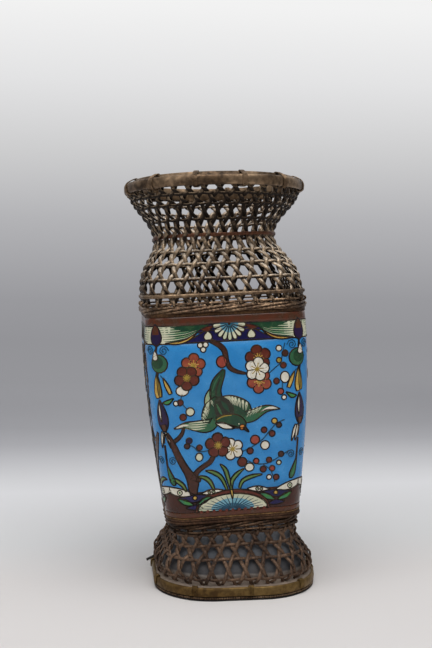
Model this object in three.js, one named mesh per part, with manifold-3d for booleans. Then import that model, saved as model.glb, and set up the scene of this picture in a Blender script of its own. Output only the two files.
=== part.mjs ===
// A tall metal vase: a rounded-square copper body under an enamel coat, with an open woven wire
// neck above it that opens to a round mouth, and a flared woven wire foot over a sheet-metal liner.
// Millimetres, +Z up, the front face towards -Y, standing on z = 0.

import * as THREE from "three";
import { mergeVertices } from "three/addons/utils/BufferGeometryUtils.js";
import Module from "manifold-3d";

const wasm = await Module();
wasm.setup();

// Clearances
const GAP = 0.3; // between pieces that meet
const SEAM = 0.3; // between the enamel and the copper under it
const WEAVE_GAP = 0.7; // between a hoop and the wires that cross it
const LINER_GAP = 0.9; // between the woven foot and its liner
const TWIST_GAP = 0.6; // between the wires of the weave and the twist laid over them

// Wire of the weave, flat towards the hoops: width along the wall, thickness through it
const WIRE_WIDTH = 2.8;
const WIRE_THICKNESS = 1.5;
const HOOP_HEIGHT = 2;
const HOOP_THICKNESS = 1.2;
const RING_THICKNESS = 1.9; // the rings that hold the wires' ends
const STRONG_HOOP_HEIGHT = 3; // the heavier hoops, at the shoulder and at the waist

// Foot
const BASE_RING_HEIGHT = 1;
const BASE_RING_INSET = 0.6; // from the band's face to the ring's edge
const BASE_RING_LEDGE = 1.5; // how far the ring reaches inside the liner that stands on it
const NOTCHED_WIRE_SIZE = 1.3;
const FOOT_BAND_HEIGHT = 6.8;
const FOOT_BAND_THICKNESS = 2.2;
const FOOT_HALF_WIDTH = 61.5;
const FOOT_ROUNDNESS = 0.72; // corner radius as a share of the half width
const ANKLE_INSET = 0.6; // from the body's foot in to the weave where the foot is narrowest
const ANKLE_ROUNDNESS = 0.42;
const FOOT_ROWS = [5, 13.5, 8.7, 8.6]; // from the band's top edge up, hoop to hoop
const FOOT_UPRIGHT = 7; // the weave rises straight this far above the band
const FOOT_BULGE = 2.8; // and swells out by up to this much
const ANKLE_LENGTH = 7; // and is at its narrowest this far below the top hoop
const FOOT_WIRES = 32; // wires leaning each way
const WIRE_TAIL = 3.8; // how deep the wires reach behind the band
const LINER_THICKNESS = 1;
const ANKLE_TWIST_ROOM = 9.4; // from the top hoop of the foot to the body's bottom plate

// Body
const BOTTOM_PLATE_THICKNESS = 1.5;
const BOTTOM_PLATE_LIP = 0.6; // how far the plate stands out past the enamel
const BODY_HEIGHT = 152;
const BODY_FOOT_HALF_WIDTH = 49.6;
const BODY_BELLY_HALF_WIDTH = 59.3;
const BODY_SHOULDER_INSET = 0.7; // how much narrower it is at the shoulder
const BODY_BELLY_SHARE = 0.84; // how far up the body it is widest
const BODY_ROUNDNESS = 0.34;
const SHELL_THICKNESS = 1.3;
const ENAMEL_THICKNESS = 0.9;
const STRIP_PROUD = 0.35; // how far the metal strips stand out of the enamel
const LOWER_STRIP_HEIGHT = 1.7;
const GILT_LINE_HEIGHT = 0.7;
const LOWER_BAND_HEIGHT = 3.6;
const LOWER_BORDER_HEIGHT = 15;
const UPPER_BORDER_HEIGHT = 12.7;
const UPPER_BAND_HEIGHT = 5.7;
const UPPER_STRIP_HEIGHT = 2.5;

// Neck
const TWIST_WIRE = 1.8;
const TWIST_TURNS = 4;
const SHOULDER_OVERHANG = 2.3; // from the body's shoulder out to the outside of the weave
const SHOULDER_ROUNDNESS = 0.4;
const WAIST_HALF_WIDTH = 46.9;
const WAIST_ROUNDNESS = 0.7;
const WAIST_DROP = 3; // the narrowest place is this far below the waist hoop
const NECK_ROWS = [6.6, 11.5, 10.8, 9.2, 11.8, 11, 10.2, 7]; // from the edging wire up, hoop to hoop
const SHOULDER_HOOP_INDEX = 0; // the strong hoops, counted from the edging wire
const WAIST_HOOP_INDEX = 4;
const NECK_WIRES = 36; // wires leaning each way
const RIM_RADIUS = 68.7;
const RIM_OUTER_THICKNESS = 2.6;
const RIM_INNER_THICKNESS = 1.8;
const RIM_OUTER_HEIGHT = 7.5;
const RIM_INNER_HEIGHT = 9.4;
const RIM_RISE = 5; // from the top hoop of the weave to the rim's lower edge
const RIM_STEP = 0.7; // the inner hoop's lower edge above the outer one's
const RIM_TAIL = 5; // how deep the wires reach between the rim's hoops

// Bindings round the rim and clips over the foot band
const BINDING_THICKNESS = 0.8;
const RIM_BINDING_WIDTH = 4;
const WIRES_PER_BINDING = 3; // wires from one binding to the next
const FOOT_CLIP_WIDTH = 5;
const FOOT_CLIPS = 10;
const FOOT_CLIP_REACH = 5.6; // down the band from its top edge
const FOOT_CLIP_START = 0.017; // place of the first clip, as a share of the way round

// The worn foot lets everything above it lean a little to the left
const LEAN_DEGREES = 2.6;
const RIM_LEVEL_DEGREES = 1.2; // by which the rim is nearer level than the body
const WAIST_SHIFT = -2.4; // the neck's waist is pushed a little to the left

// One wire end that has sprung out of the foot, on the left
const LOOSE_END_LENGTH = 12;
const LOOSE_END_SIZE = 1.5;
const LOOSE_END_SLOPE_DEGREES = 27;
const LOOSE_END_OPENING = 23.75; // which opening of the foot it comes through, counted in wires
const LOOSE_END_INSIDE = 2.2; // how far behind the hoops it starts

// Fineness of the faceted surfaces
const ROUND_STEPS = 36;
const WALL_STEPS = 24;
const TWIST_STEPS = 38;
const CORNER_CROWDING = 0.55;

// Heights and distances worked out from the sizes above
const layer = (WIRE_THICKNESS + HOOP_THICKNESS) / 2 + WEAVE_GAP; // from the hoops to either side
const weaveOutside = layer + WIRE_THICKNESS / 2;
const tuckedWeave = layer + WIRE_THICKNESS; // both layers without a hoop between them
const notchedWireZ = BASE_RING_HEIGHT + GAP + NOTCHED_WIRE_SIZE / 2;
const footBandZ = notchedWireZ + NOTCHED_WIRE_SIZE / 2 + GAP;
const footBandTop = footBandZ + FOOT_BAND_HEIGHT;
const footHoops = stack(footBandTop, FOOT_ROWS);
const bodyZ = footHoops.at(-1) + ANKLE_TWIST_ROOM;
const shellZ = bodyZ + BOTTOM_PLATE_THICKNESS + GAP;
const shellTop = shellZ + BODY_HEIGHT;
const twistRadius = TWIST_WIRE / 2 + GAP / 2; // of each wire about the twist's own axis
const twistHalf = twistRadius + TWIST_WIRE / 2;
const twistSeat = WIRE_THICKNESS / 2 - layer + TWIST_GAP + twistHalf; // it lies on the inner wires
const ankleTwistZ = bodyZ - GAP - twistHalf;
const shoulderTwistZ = shellTop + GAP + twistHalf;
const edgingZ = shoulderTwistZ + twistHalf + GAP + HOOP_HEIGHT / 2;
const neckHoops = stack(edgingZ, NECK_ROWS);
const waistZ = neckHoops[WAIST_HOOP_INDEX] - WAIST_DROP;
const rimZ = neckHoops.at(-1) + RIM_RISE;
const rimInnerZ = rimZ + RIM_STEP;
const rimInnerTop = rimInnerZ + RIM_INNER_HEIGHT;
const tuckedAtRim = RIM_RADIUS - RIM_OUTER_THICKNESS - GAP - tuckedWeave / 2;
const rimInnerFace = tuckedAtRim - tuckedWeave / 2 - GAP - RIM_RADIUS;
const rimInnerBack = rimInnerFace - RIM_INNER_THICKNESS;
const clipDepth = FOOT_BAND_THICKNESS + GAP + BINDING_THICKNESS;
const clipTop = footBandTop + GAP + BINDING_THICKNESS;
const behindClips = FOOT_HALF_WIDTH - clipDepth - GAP - weaveOutside;
const linerOut = -weaveOutside - LINER_GAP;
const ankleHalfWidth = BODY_FOOT_HALF_WIDTH - ANKLE_INSET;
const shoulderHalfWidth = BODY_BELLY_HALF_WIDTH - BODY_SHOULDER_INSET + SHOULDER_OVERHANG;

function stack(from, steps) {
  let z = from;
  return steps.map((step) => (z += step));
}

const mix = THREE.MathUtils.lerp;
const ease = THREE.MathUtils.smoothstep;
const share01 = (value, from, to) => THREE.MathUtils.clamp((value - from) / (to - from), 0, 1);

// Each wall gives its half width and corner radius at a height.
// The body's is the face of its enamel, and the others are the middle of the weave.
function bodyWall(z) {
  const t = share01(z, shellZ, shellTop);
  const rise = Math.min(t / BODY_BELLY_SHARE, 1);
  const fall = share01(t, BODY_BELLY_SHARE, 1);
  const swell = mix(BODY_FOOT_HALF_WIDTH, BODY_BELLY_HALF_WIDTH, Math.sin((rise * Math.PI) / 2));
  const half = swell - BODY_SHOULDER_INSET * fall ** 2;
  return [half, half * BODY_ROUNDNESS];
}

function neckWall(z) {
  const down = share01(z, edgingZ, waistZ) ** 1.8;
  const up = share01(z, waistZ, rimZ) ** 1.25;
  const lower = mix(shoulderHalfWidth, WAIST_HALF_WIDTH, (1 - Math.cos(down * Math.PI)) / 2);
  const half = mix(lower - weaveOutside, tuckedAtRim, ease(up, 0, 1));
  const roundness = mix(mix(SHOULDER_ROUNDNESS, WAIST_ROUNDNESS, down), 1, Math.min(up * 1.3, 1));
  return [half, half * roundness];
}

function footWall(z) {
  const t = ease(z, footBandTop + FOOT_UPRIGHT, footHoops.at(-1) - ANKLE_LENGTH);
  const bulge = FOOT_BULGE * Math.sin(Math.PI * share01(z, clipTop + GAP, footHoops[2]) ** 0.6);
  const half = mix(behindClips, ankleHalfWidth - weaveOutside, t) + bulge;
  return [half, half * mix(FOOT_ROUNDNESS, ANKLE_ROUNDNESS, t)];
}

const footFrame = () => [FOOT_HALF_WIDTH, FOOT_HALF_WIDTH * FOOT_ROUNDNESS];
const rimFrame = () => [RIM_RADIUS, RIM_RADIUS];

// A point of a rounded square with its outward direction. The share runs once round it,
// from the middle of the front side towards +X.
function roundedSquare(half, radius, share) {
  const flat = half - radius;
  const quarter = 2 * flat + (Math.PI / 2) * radius;
  const turn = (((share % 1) + 1) % 1) * 4;
  const side = Math.floor(turn);
  const along = (turn - side) * quarter;
  const point = new THREE.Vector3(along, -half, 0);
  const out = new THREE.Vector3(0, -1, 0);
  if (along > flat && along < quarter - flat) {
    const angle = (along - flat) / radius;
    out.set(Math.sin(angle), -Math.cos(angle), 0);
    point.set(flat + radius * out.x, -flat + radius * out.y, 0);
  } else if (along >= quarter - flat) {
    out.set(1, 0, 0);
    point.set(half, along - quarter, 0);
  }
  const up = new THREE.Vector3(0, 0, 1);
  point.applyAxisAngle(up, (side * Math.PI) / 2);
  out.applyAxisAngle(up, (side * Math.PI) / 2);
  return { point, out };
}

// A place on a wall, moved straight out by some distance
function onWall(wall, z, share, distance = 0) {
  const { point, out } = roundedSquare(...wall(z), share);
  return point.setZ(z).addScaledVector(out, distance);
}

function outward(wall, z, share) {
  return roundedSquare(...wall(z), share).out;
}

// The direction square to a wall, with its slope
function squareOut(wall, z, share) {
  const { out } = roundedSquare(...wall(z), share);
  const step = 0.5;
  const rise = onWall(wall, z + step, share).sub(onWall(wall, z - step, share));
  const slope = rise.dot(out) / (2 * step);
  return out.setZ(-slope).normalize();
}

// A place off a wall, square to its slope
function offWall(wall, z, share, distance) {
  return onWall(wall, z, share).addScaledVector(squareOut(wall, z, share), distance);
}

// Everything above the foot clips turns about the foot's middle, more and more up to the body,
// and the neck bends back a little towards the rim
function settle(point) {
  const { x, z } = point;
  const lean = THREE.MathUtils.degToRad(LEAN_DEGREES) * ease(z, clipTop, bodyZ);
  const level = Math.tan(THREE.MathUtils.degToRad(RIM_LEVEL_DEGREES)) * ease(z, waistZ, rimZ);
  point.x += WAIST_SHIFT * ease(z, edgingZ, waistZ) * (1 - ease(z, waistZ, rimZ));
  point.z -= x * level;
  return point.applyAxisAngle(new THREE.Vector3(0, 1, 0), -lean);
}

// A closed surface from rows of points. Each row is a loop, and the rows form a loop or end in caps.
function skin(rows, closed) {
  const sides = rows[0].length;
  const count = rows.length;
  const faces = [];
  for (let i = 0; i < (closed ? count : count - 1); i++) {
    const here = i * sides;
    const next = ((i + 1) % count) * sides;
    for (let j = 0; j < sides; j++) {
      const k = (j + 1) % sides;
      faces.push(here + j, here + k, next + k);
      faces.push(here + j, next + k, next + j);
    }
  }
  if (!closed) {
    const end = (count - 1) * sides;
    for (let j = 1; j < sides - 1; j++) {
      faces.push(0, j + 1, j);
      faces.push(end, end + j, end + j + 1);
    }
  }
  const geometry = new THREE.BufferGeometry();
  geometry.setFromPoints(rows.flat().map((p) => settle(p.clone())));
  geometry.setIndex(faces);
  return facingOut(geometry);
}

// The signed volume tells which way the faces point
function facingOut(geometry) {
  const points = geometry.attributes.position;
  const corners = Array.from(geometry.index.array);
  const at = (i) => new THREE.Vector3().fromBufferAttribute(points, corners[i]);
  let volume = 0;
  for (let i = 0; i < corners.length; i += 3) volume += at(i).dot(at(i + 1).cross(at(i + 2)));
  if (volume < 0) geometry.setIndex(corners.reverse());
  return geometry;
}

// The share of step i of count round a wall, with the steps crowded into the corners
function cornerShare(i, count) {
  const quarter = (4 * i) / count;
  return (quarter + (CORNER_CROWDING * Math.sin(2 * Math.PI * quarter)) / (2 * Math.PI)) / 4;
}

// A profile of [out, z] points carried once round a wall
function carriedRound(wall, profile, steps = WALL_STEPS) {
  const rows = [];
  for (let i = 0; i < steps; i++) {
    const share = cornerShare(i, steps);
    rows.push(profile.map(([out, z]) => onWall(wall, z, share, out)));
  }
  return skin(rows, true);
}

// The same in even steps, a few for each binding or clip, which then sits over a corner
function carriedEvenly(wall, profile, held, first) {
  const steps = held * Math.ceil(ROUND_STEPS / held);
  const rows = [];
  for (let i = 0; i < steps; i++) {
    rows.push(profile.map(([out, z]) => onWall(wall, z, i / steps + first, out)));
  }
  return skin(rows, true);
}

// A sheet of one thickness that keeps its distance from a sloping wall, through a list of heights
function sheetRound(wall, outer, thickness, heights) {
  const rows = [];
  for (let i = 0; i < WALL_STEPS; i++) {
    const share = cornerShare(i, WALL_STEPS);
    const face = heights.map((z) => offWall(wall, z, share, outer));
    const back = heights.map((z) => offWall(wall, z, share, outer - thickness));
    rows.push([...face, ...back.reverse()]);
  }
  return skin(rows, true);
}

function rectangle(inner, outer, low, high) {
  return [
    [inner, low],
    [outer, low],
    [outer, high],
    [inner, high],
  ];
}

function diamond(out, z, thickness, height) {
  return [
    [out - thickness / 2, z],
    [out, z - height / 2],
    [out + thickness / 2, z],
    [out, z + height / 2],
  ];
}

// A split cane shape: flat inside, rounded outside
function splitCane(inner, outer, low, high) {
  const edge = mix(inner, outer, 0.45);
  const soft = (high - low) * 0.22;
  return [
    [inner, low],
    [edge, low],
    [outer, low + soft],
    [outer, high - soft],
    [edge, high],
    [inner, high],
  ];
}

function levels(low, high, count) {
  return Array.from({ length: count + 1 }, (_, i) => mix(low, high, i / count));
}

// A wall of one thickness that follows the curve through a list of heights
function wallProfile(outer, thickness, heights) {
  const face = heights.map((z) => [outer, z]);
  const back = heights.map((z) => [outer - thickness, z]);
  return [...face, ...back.reverse()];
}

// The wires that lean right as they rise are outside the hoops, and those that lean left inside them
const rightLeaning = { slant: 1, side: 1 };
const leftLeaning = { slant: -1, side: -1 };

// The share at which a wire passes a row. Half a place per row, so that wires cross between hoops.
function wireShare({ slant }, number, row, count) {
  const start = slant > 0 ? number : number + 0.5;
  return (start + (slant * row) / 2) / count;
}

// One wire of the weave through its stations: a height, its row and its distance from the wall
function weaveWire(wall, stations, family, number, count) {
  const places = stations.map(({ z, row, out }) => {
    const share = wireShare(family, number, row, count);
    return { at: offWall(wall, z, share, out * family.side), out: squareOut(wall, z, share) };
  });
  const flat = (-family.side * WIRE_THICKNESS) / 2;
  const rows = places.map(({ at, out }, i) => {
    const before = places[Math.max(i - 1, 0)].at;
    const after = places[Math.min(i + 1, places.length - 1)].at;
    const along = after.clone().sub(before).normalize();
    const side = along.clone().cross(out).normalize();
    const through = side.clone().cross(along);
    return [
      at.clone().addScaledVector(side, WIRE_WIDTH / 2).addScaledVector(through, flat),
      at.clone().addScaledVector(side, -WIRE_WIDTH / 2).addScaledVector(through, flat),
      at.clone().addScaledVector(through, -flat),
    ];
  });
  return skin(rows, false);
}

// All wires that lean one way, soldered to the ring that holds their ends. The ring's corners are
// midway between wires.
function weave(wall, stations, family, count, { z, row }) {
  const [out, half] = [layer * family.side, RING_THICKNESS / 2];
  const profile = rectangle(out - half, out + half, z - HOOP_HEIGHT / 2, z + HOOP_HEIGHT / 2);
  const rows = Array.from({ length: count }, (_, i) => {
    const share = wireShare(family, i + 0.5, row, count);
    return profile.map(([distance, height]) => onWall(wall, height, share, distance));
  });
  const ring = skin(rows, true);
  const wires = Array.from({ length: count }, (_, i) => weaveWire(wall, stations, family, i, count));
  return joined([ring, ...wires]);
}

// A hoop between the two families, with a corner over each inner wire. Its flat side is outside
// where the wall curves in, and inside where it bulges, because the straight wires cut across there.
function hoop(wall, z, row, height, count) {
  const [below, here, above] = [z - 2 * height, z, z + 2 * height].map((level) => wall(level)[0]);
  const flat = (below + above > 2 * here ? 1 : -1) * (HOOP_THICKNESS / 2);
  const rows = [];
  for (let i = 0; i < count; i++) {
    const share = wireShare(leftLeaning, i, row, count);
    rows.push([
      offWall(wall, z - height / 2, share, flat),
      offWall(wall, z, share, -flat),
      offWall(wall, z + height / 2, share, flat),
    ]);
  }
  return skin(rows, true);
}

function solid(geometry) {
  const mesh = new wasm.Mesh({
    numProp: 3,
    vertProperties: new Float32Array(geometry.attributes.position.array),
    triVerts: new Uint32Array(geometry.index.array),
  });
  return new wasm.Manifold(mesh);
}

function joined(geometries) {
  const mesh = wasm.Manifold.union(geometries.map(solid)).getMesh();
  const geometry = new THREE.BufferGeometry();
  geometry.setAttribute("position", new THREE.BufferAttribute(mesh.vertProperties, mesh.numProp));
  geometry.setIndex(new THREE.BufferAttribute(mesh.triVerts, 1));
  return geometry;
}

// One of the two wires twisted together round the shoulder or the ankle
function twistWire(wall, z, phase) {
  const size = TWIST_WIRE / 2;
  const rows = [];
  for (let i = 0; i < TWIST_STEPS; i++) {
    const share = cornerShare(i, TWIST_STEPS);
    const angle = 2 * Math.PI * (TWIST_TURNS * share + phase);
    const place = (around) => {
      const out = twistSeat + twistRadius * Math.cos(angle) + size * Math.cos(around);
      const up = twistRadius * Math.sin(angle) + size * Math.sin(around);
      return onWall(wall, z, share, out).setZ(z + up);
    };
    rows.push([0, 1, 2].map((corner) => place(angle + (corner * 2 * Math.PI) / 3)));
  }
  return skin(rows, true);
}

// A flat band of wire bent round a profile at one place of a wall
function bent(wall, share, width, outerLoop, innerLoop) {
  const out = outward(wall, 0, share);
  const along = new THREE.Vector3(-out.y, out.x, 0);
  const place = (offset) => ([distance, z]) => {
    return onWall(wall, z, share, distance).addScaledVector(along, offset);
  };
  return [
    outerLoop.map(place(-width / 2)),
    outerLoop.map(place(width / 2)),
    innerLoop.map(place(width / 2)),
    innerLoop.map(place(-width / 2)),
  ];
}

// A loop all the way round the rim's two hoops
function rimBinding(share) {
  const loop = (grow) => [
    [rimInnerBack - grow, rimZ - grow],
    [grow, rimZ - grow],
    [grow, rimZ + RIM_OUTER_HEIGHT + grow],
    [rimInnerFace + grow, rimInnerTop + grow],
    [rimInnerBack - grow, rimInnerTop + grow],
  ];
  return skin(bent(rimFrame, share, RIM_BINDING_WIDTH, loop(GAP + BINDING_THICKNESS), loop(GAP)), true);
}

// A clip over the foot band's top edge
function footClip(share) {
  const low = footBandTop - FOOT_CLIP_REACH;
  const [inner, outer] = [-FOOT_BAND_THICKNESS - GAP, GAP];
  const [top, wrap] = [footBandTop + GAP, BINDING_THICKNESS];
  const outline = [
    [outer, low],
    [outer + wrap, low],
    [outer + wrap, top + wrap],
    [inner - wrap, top + wrap],
    [inner - wrap, low],
    [inner, low],
    [inner, top],
    [outer, top],
  ];
  return extruded(footFrame, share, FOOT_CLIP_WIDTH, outline);
}

// An outline of [out, z] points extruded along a wall, at one place of it
function extruded(wall, share, width, outline) {
  const shape = new THREE.Shape(outline.map(([out, z]) => new THREE.Vector2(out, z)));
  const geometry = new THREE.ExtrudeGeometry(shape, { depth: width, bevelEnabled: false });
  const out = outward(wall, 0, share);
  const up = new THREE.Vector3(0, 0, 1);
  const along = out.clone().cross(up);
  const origin = onWall(wall, 0, share).addScaledVector(along, -width / 2);
  geometry.applyMatrix4(new THREE.Matrix4().makeBasis(out, up, along).setPosition(origin));
  geometry.deleteAttribute("normal");
  geometry.deleteAttribute("uv");
  return mergeVertices(geometry, 1e-4);
}

function disc(wall, z, grow, thickness) {
  const rim = (height) => {
    return Array.from({ length: WALL_STEPS }, (_, i) => {
      return onWall(wall, z, cornerShare(i, WALL_STEPS), grow).setZ(height);
    });
  };
  return skin([rim(z), rim(z + thickness)], false);
}

// A square wire from inside the foot, out through one opening and down
function looseEnd() {
  const share = LOOSE_END_OPENING / FOOT_WIRES;
  const hoopTop = footHoops[0] + HOOP_HEIGHT / 2;
  const slope = THREE.MathUtils.degToRad(LOOSE_END_SLOPE_DEGREES);
  const wall = () => footWall(hoopTop);
  const z = hoopTop + GAP + LOOSE_END_SIZE / 2 / Math.cos(slope);
  const start = onWall(wall, z, share, -LOOSE_END_INSIDE);
  start.z += LOOSE_END_INSIDE * Math.tan(slope);
  const out = outward(wall, z, share);
  const along = out.clone().multiplyScalar(Math.cos(slope)).setZ(-Math.sin(slope));
  const side = along.clone().cross(out).normalize();
  const over = side.clone().cross(along);
  const end = start.clone().addScaledVector(along, LOOSE_END_LENGTH);
  const section = (at) => {
    return [0, 1, 2, 3].map((corner) => {
      const turn = (corner * Math.PI) / 2;
      const reach = LOOSE_END_SIZE / 2;
      return at
        .clone()
        .addScaledVector(side, reach * Math.cos(turn))
        .addScaledVector(over, reach * Math.sin(turn));
    });
  };
  return skin([section(start), section(end)], false);
}

// A binding stands midway between two places where wires cross, just under the rim
function rimBindingPhase() {
  const row = NECK_ROWS.length - 1 + RIM_RISE / NECK_ROWS.at(-1);
  const right = wireShare(rightLeaning, 0, row, 1);
  const left = wireShare(leftLeaning, 0, row, 1);
  const apart = (((left - right) % 1) + 1) % 1;
  return apart < 0.5 ? right + (apart + 1) / 2 : right + apart / 2;
}

const vase = new THREE.Group();

function add(name, geometry, [color, roughness, metalness]) {
  const material = new THREE.MeshStandardMaterial({ color, roughness, metalness });
  const mesh = new THREE.Mesh(geometry, material);
  mesh.name = name;
  vase.add(mesh);
}

const bronze = [0x6b5a48, 0.5, 0.85];
const darkBronze = [0x3c3026, 0.6, 0.8];
const brownBronze = [0x5a3d2a, 0.5, 0.8];
const brass = [0x8a6a3a, 0.4, 0.9];
const gilt = [0xc79a4a, 0.3, 1];
const greyMetal = [0x77736f, 0.65, 0.7];
const copper = [0x7a4a34, 0.5, 0.85];
const turquoise = [0x2a86c4, 0.15, 0];
const navy = [0x1f2f5c, 0.15, 0];
const brickRed = [0x6a2c1d, 0.2, 0];

// The foot's frame
const roundFoot = (profile) => carriedEvenly(footFrame, profile, FOOT_CLIPS, FOOT_CLIP_START);
const linerAtFoot = behindClips + linerOut - FOOT_HALF_WIDTH;
const ledge = linerAtFoot - LINER_THICKNESS - BASE_RING_LEDGE;
add(
  "foot_base_ring",
  roundFoot(rectangle(ledge, -BASE_RING_INSET, 0, BASE_RING_HEIGHT)),
  darkBronze,
);
const notchedOut = -BASE_RING_INSET / 2 - NOTCHED_WIRE_SIZE / 2;
add(
  "foot_notched_wire",
  roundFoot(diamond(notchedOut, notchedWireZ, NOTCHED_WIRE_SIZE, NOTCHED_WIRE_SIZE)),
  bronze,
);
add("foot_band", roundFoot(splitCane(-FOOT_BAND_THICKNESS, 0, footBandZ, footBandTop)), brass);
for (let i = 0; i < FOOT_CLIPS; i++) {
  const number = String(i + 1).padStart(2, "0");
  add(`foot_clip_${number}`, footClip(i / FOOT_CLIPS + FOOT_CLIP_START), brass);
}
const linerHeights = [BASE_RING_HEIGHT + GAP, clipTop + GAP, ...footHoops, bodyZ - GAP];
add("foot_liner", sheetRound(footWall, linerOut, LINER_THICKNESS, linerHeights), greyMetal);

// The foot's weave. The inner wires run on behind the twist, up to the bottom plate.
const footRow = (z) => (z - footHoops[0]) / FOOT_ROWS[1];
const behindBand = footBandTop - WIRE_TAIL;
const footWoven = [
  ...[behindBand, clipTop + GAP].map((z) => ({ z, row: footRow(z), out: layer })),
  ...footHoops.map((z, row) => ({ z, row, out: layer })),
];
const ankleRow = (z) => FOOT_ROWS.length - 1 + (z - footHoops.at(-1)) / FOOT_ROWS.at(-1);
const footOuterTop = ankleTwistZ - twistHalf - GAP - HOOP_HEIGHT / 2;
const footInnerTop = bodyZ - GAP - HOOP_HEIGHT / 2;
function addFootWires(name, family, topZ) {
  const top = { z: topZ, row: ankleRow(topZ), out: layer };
  add(name, weave(footWall, [...footWoven, top], family, FOOT_WIRES, top), brownBronze);
}
addFootWires("foot_wires_outer", rightLeaning, footOuterTop);
addFootWires("foot_wires_inner", leftLeaning, footInnerTop);
footHoops.forEach((z, row) => {
  add(`foot_hoop_${row + 1}`, hoop(footWall, z, row, HOOP_HEIGHT, FOOT_WIRES), brownBronze);
});
add("foot_loose_wire", looseEnd(), darkBronze);
add("ankle_twist_a", twistWire(footWall, ankleTwistZ, 0), bronze);
add("ankle_twist_b", twistWire(footWall, ankleTwistZ, 0.5), bronze);

// The body: a bottom plate, the coat of enamel and strips, and the copper shell inside it.
// The shell turns at the coat's own heights, so that the two keep their distance.
const shellOut = -ENAMEL_THICKNESS - SEAM;
add("body_bottom_plate", disc(bodyWall, bodyZ, BOTTOM_PLATE_LIP, BOTTOM_PLATE_THICKNESS), copper);
const coats = [
  ["body_lower_strip", LOWER_STRIP_HEIGHT, STRIP_PROUD, 1, copper],
  ["body_gilt_line", GILT_LINE_HEIGHT, STRIP_PROUD, 1, gilt],
  ["enamel_lower_band", LOWER_BAND_HEIGHT, 0, 1, brickRed],
  ["enamel_lower_border", LOWER_BORDER_HEIGHT, 0, 1, navy],
  ["enamel_field", 0, 0, 5, turquoise],
  ["enamel_upper_border", UPPER_BORDER_HEIGHT, 0, 1, navy],
  ["enamel_upper_band", UPPER_BAND_HEIGHT, 0, 1, brickRed],
  ["body_upper_strip", UPPER_STRIP_HEIGHT, STRIP_PROUD, 1, brass],
];
const stated = coats.reduce((sum, [, height]) => sum + height, 0);
const fieldHeight = BODY_HEIGHT - stated - GAP * (coats.length - 1);
const shellHeights = [];
let coatZ = shellZ;
for (const [name, height, proud, count, material] of coats) {
  const heights = levels(coatZ, coatZ + (height || fieldHeight), count);
  add(name, carriedRound(bodyWall, wallProfile(proud, ENAMEL_THICKNESS + proud, heights)), material);
  shellHeights.push(...heights.slice(0, -1));
  coatZ = heights.at(-1) + GAP;
}
shellHeights.push(shellTop);
add("body_shell", carriedRound(bodyWall, wallProfile(shellOut, SHELL_THICKNESS, shellHeights)), copper);

// The neck. The inner wires start on the shell's edge, behind the twist, and both families end in the rim.
add("shoulder_twist_a", twistWire(neckWall, shoulderTwistZ, 0), bronze);
add("shoulder_twist_b", twistWire(neckWall, shoulderTwistZ, 0.5), bronze);
const lowRow = (z) => (z - neckHoops[0]) / NECK_ROWS[1];
const neckWoven = neckHoops.map((z, row) => ({ z, row, out: layer }));
const rimRow = (z) => NECK_ROWS.length - 1 + (z - neckHoops.at(-1)) / NECK_ROWS.at(-1);
const inRim = [rimZ - GAP - BINDING_THICKNESS, rimZ + RIM_TAIL].map((z) => {
  return { z, row: rimRow(z), out: layer / 2 };
});
function addNeckWires(name, family, lowZ) {
  const low = { z: lowZ, row: lowRow(lowZ), out: layer };
  add(name, weave(neckWall, [low, ...neckWoven, ...inRim], family, NECK_WIRES, low), bronze);
}
addNeckWires("neck_wires_outer", rightLeaning, edgingZ);
addNeckWires("neck_wires_inner", leftLeaning, shellTop + GAP + HOOP_HEIGHT / 2);
neckHoops.forEach((z, row) => {
  const strong = row === WAIST_HOOP_INDEX || row === SHOULDER_HOOP_INDEX;
  const height = strong ? STRONG_HOOP_HEIGHT : HOOP_HEIGHT;
  add(`neck_hoop_${row + 1}`, hoop(neckWall, z, row, height, NECK_WIRES), strong ? brownBronze : bronze);
});

// The rim: two hoops with the wires' ends between them, bound together
const rimBindings = Math.floor(NECK_WIRES / WIRES_PER_BINDING);
const firstBinding = rimBindingPhase() / NECK_WIRES;
const roundRim = (profile) => carriedEvenly(rimFrame, profile, rimBindings, firstBinding);
add("rim_outer_hoop", roundRim(splitCane(-RIM_OUTER_THICKNESS, 0, rimZ, rimZ + RIM_OUTER_HEIGHT)), bronze);
add("rim_inner_hoop", roundRim(rectangle(rimInnerBack, rimInnerFace, rimInnerZ, rimInnerTop)), bronze);
for (let i = 0; i < rimBindings; i++) {
  const share = (i * WIRES_PER_BINDING) / NECK_WIRES + firstBinding;
  add(`rim_binding_${String(i + 1).padStart(2, "0")}`, rimBinding(share), bronze);
}

// The origin is the middle of the whole vase's plan, on the surface it stands on
const bounds = new THREE.Box3().setFromObject(vase);
const middle = bounds.getCenter(new THREE.Vector3());
vase.position.set(-middle.x, -middle.y, -bounds.min.z);

export default vase;
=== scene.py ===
# %% [markdown]
# # An enamelled vase with a woven wire neck and foot
# The vase is a rounded-square copper body under cloisonné enamel, with a neck and a foot woven of
# bronze wire the way baskets are woven of cane. The solids of every piece come packed from CAD. They
# are loaded first, because everything made here stands where they are and keeps their size.

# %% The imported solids
import math

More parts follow.
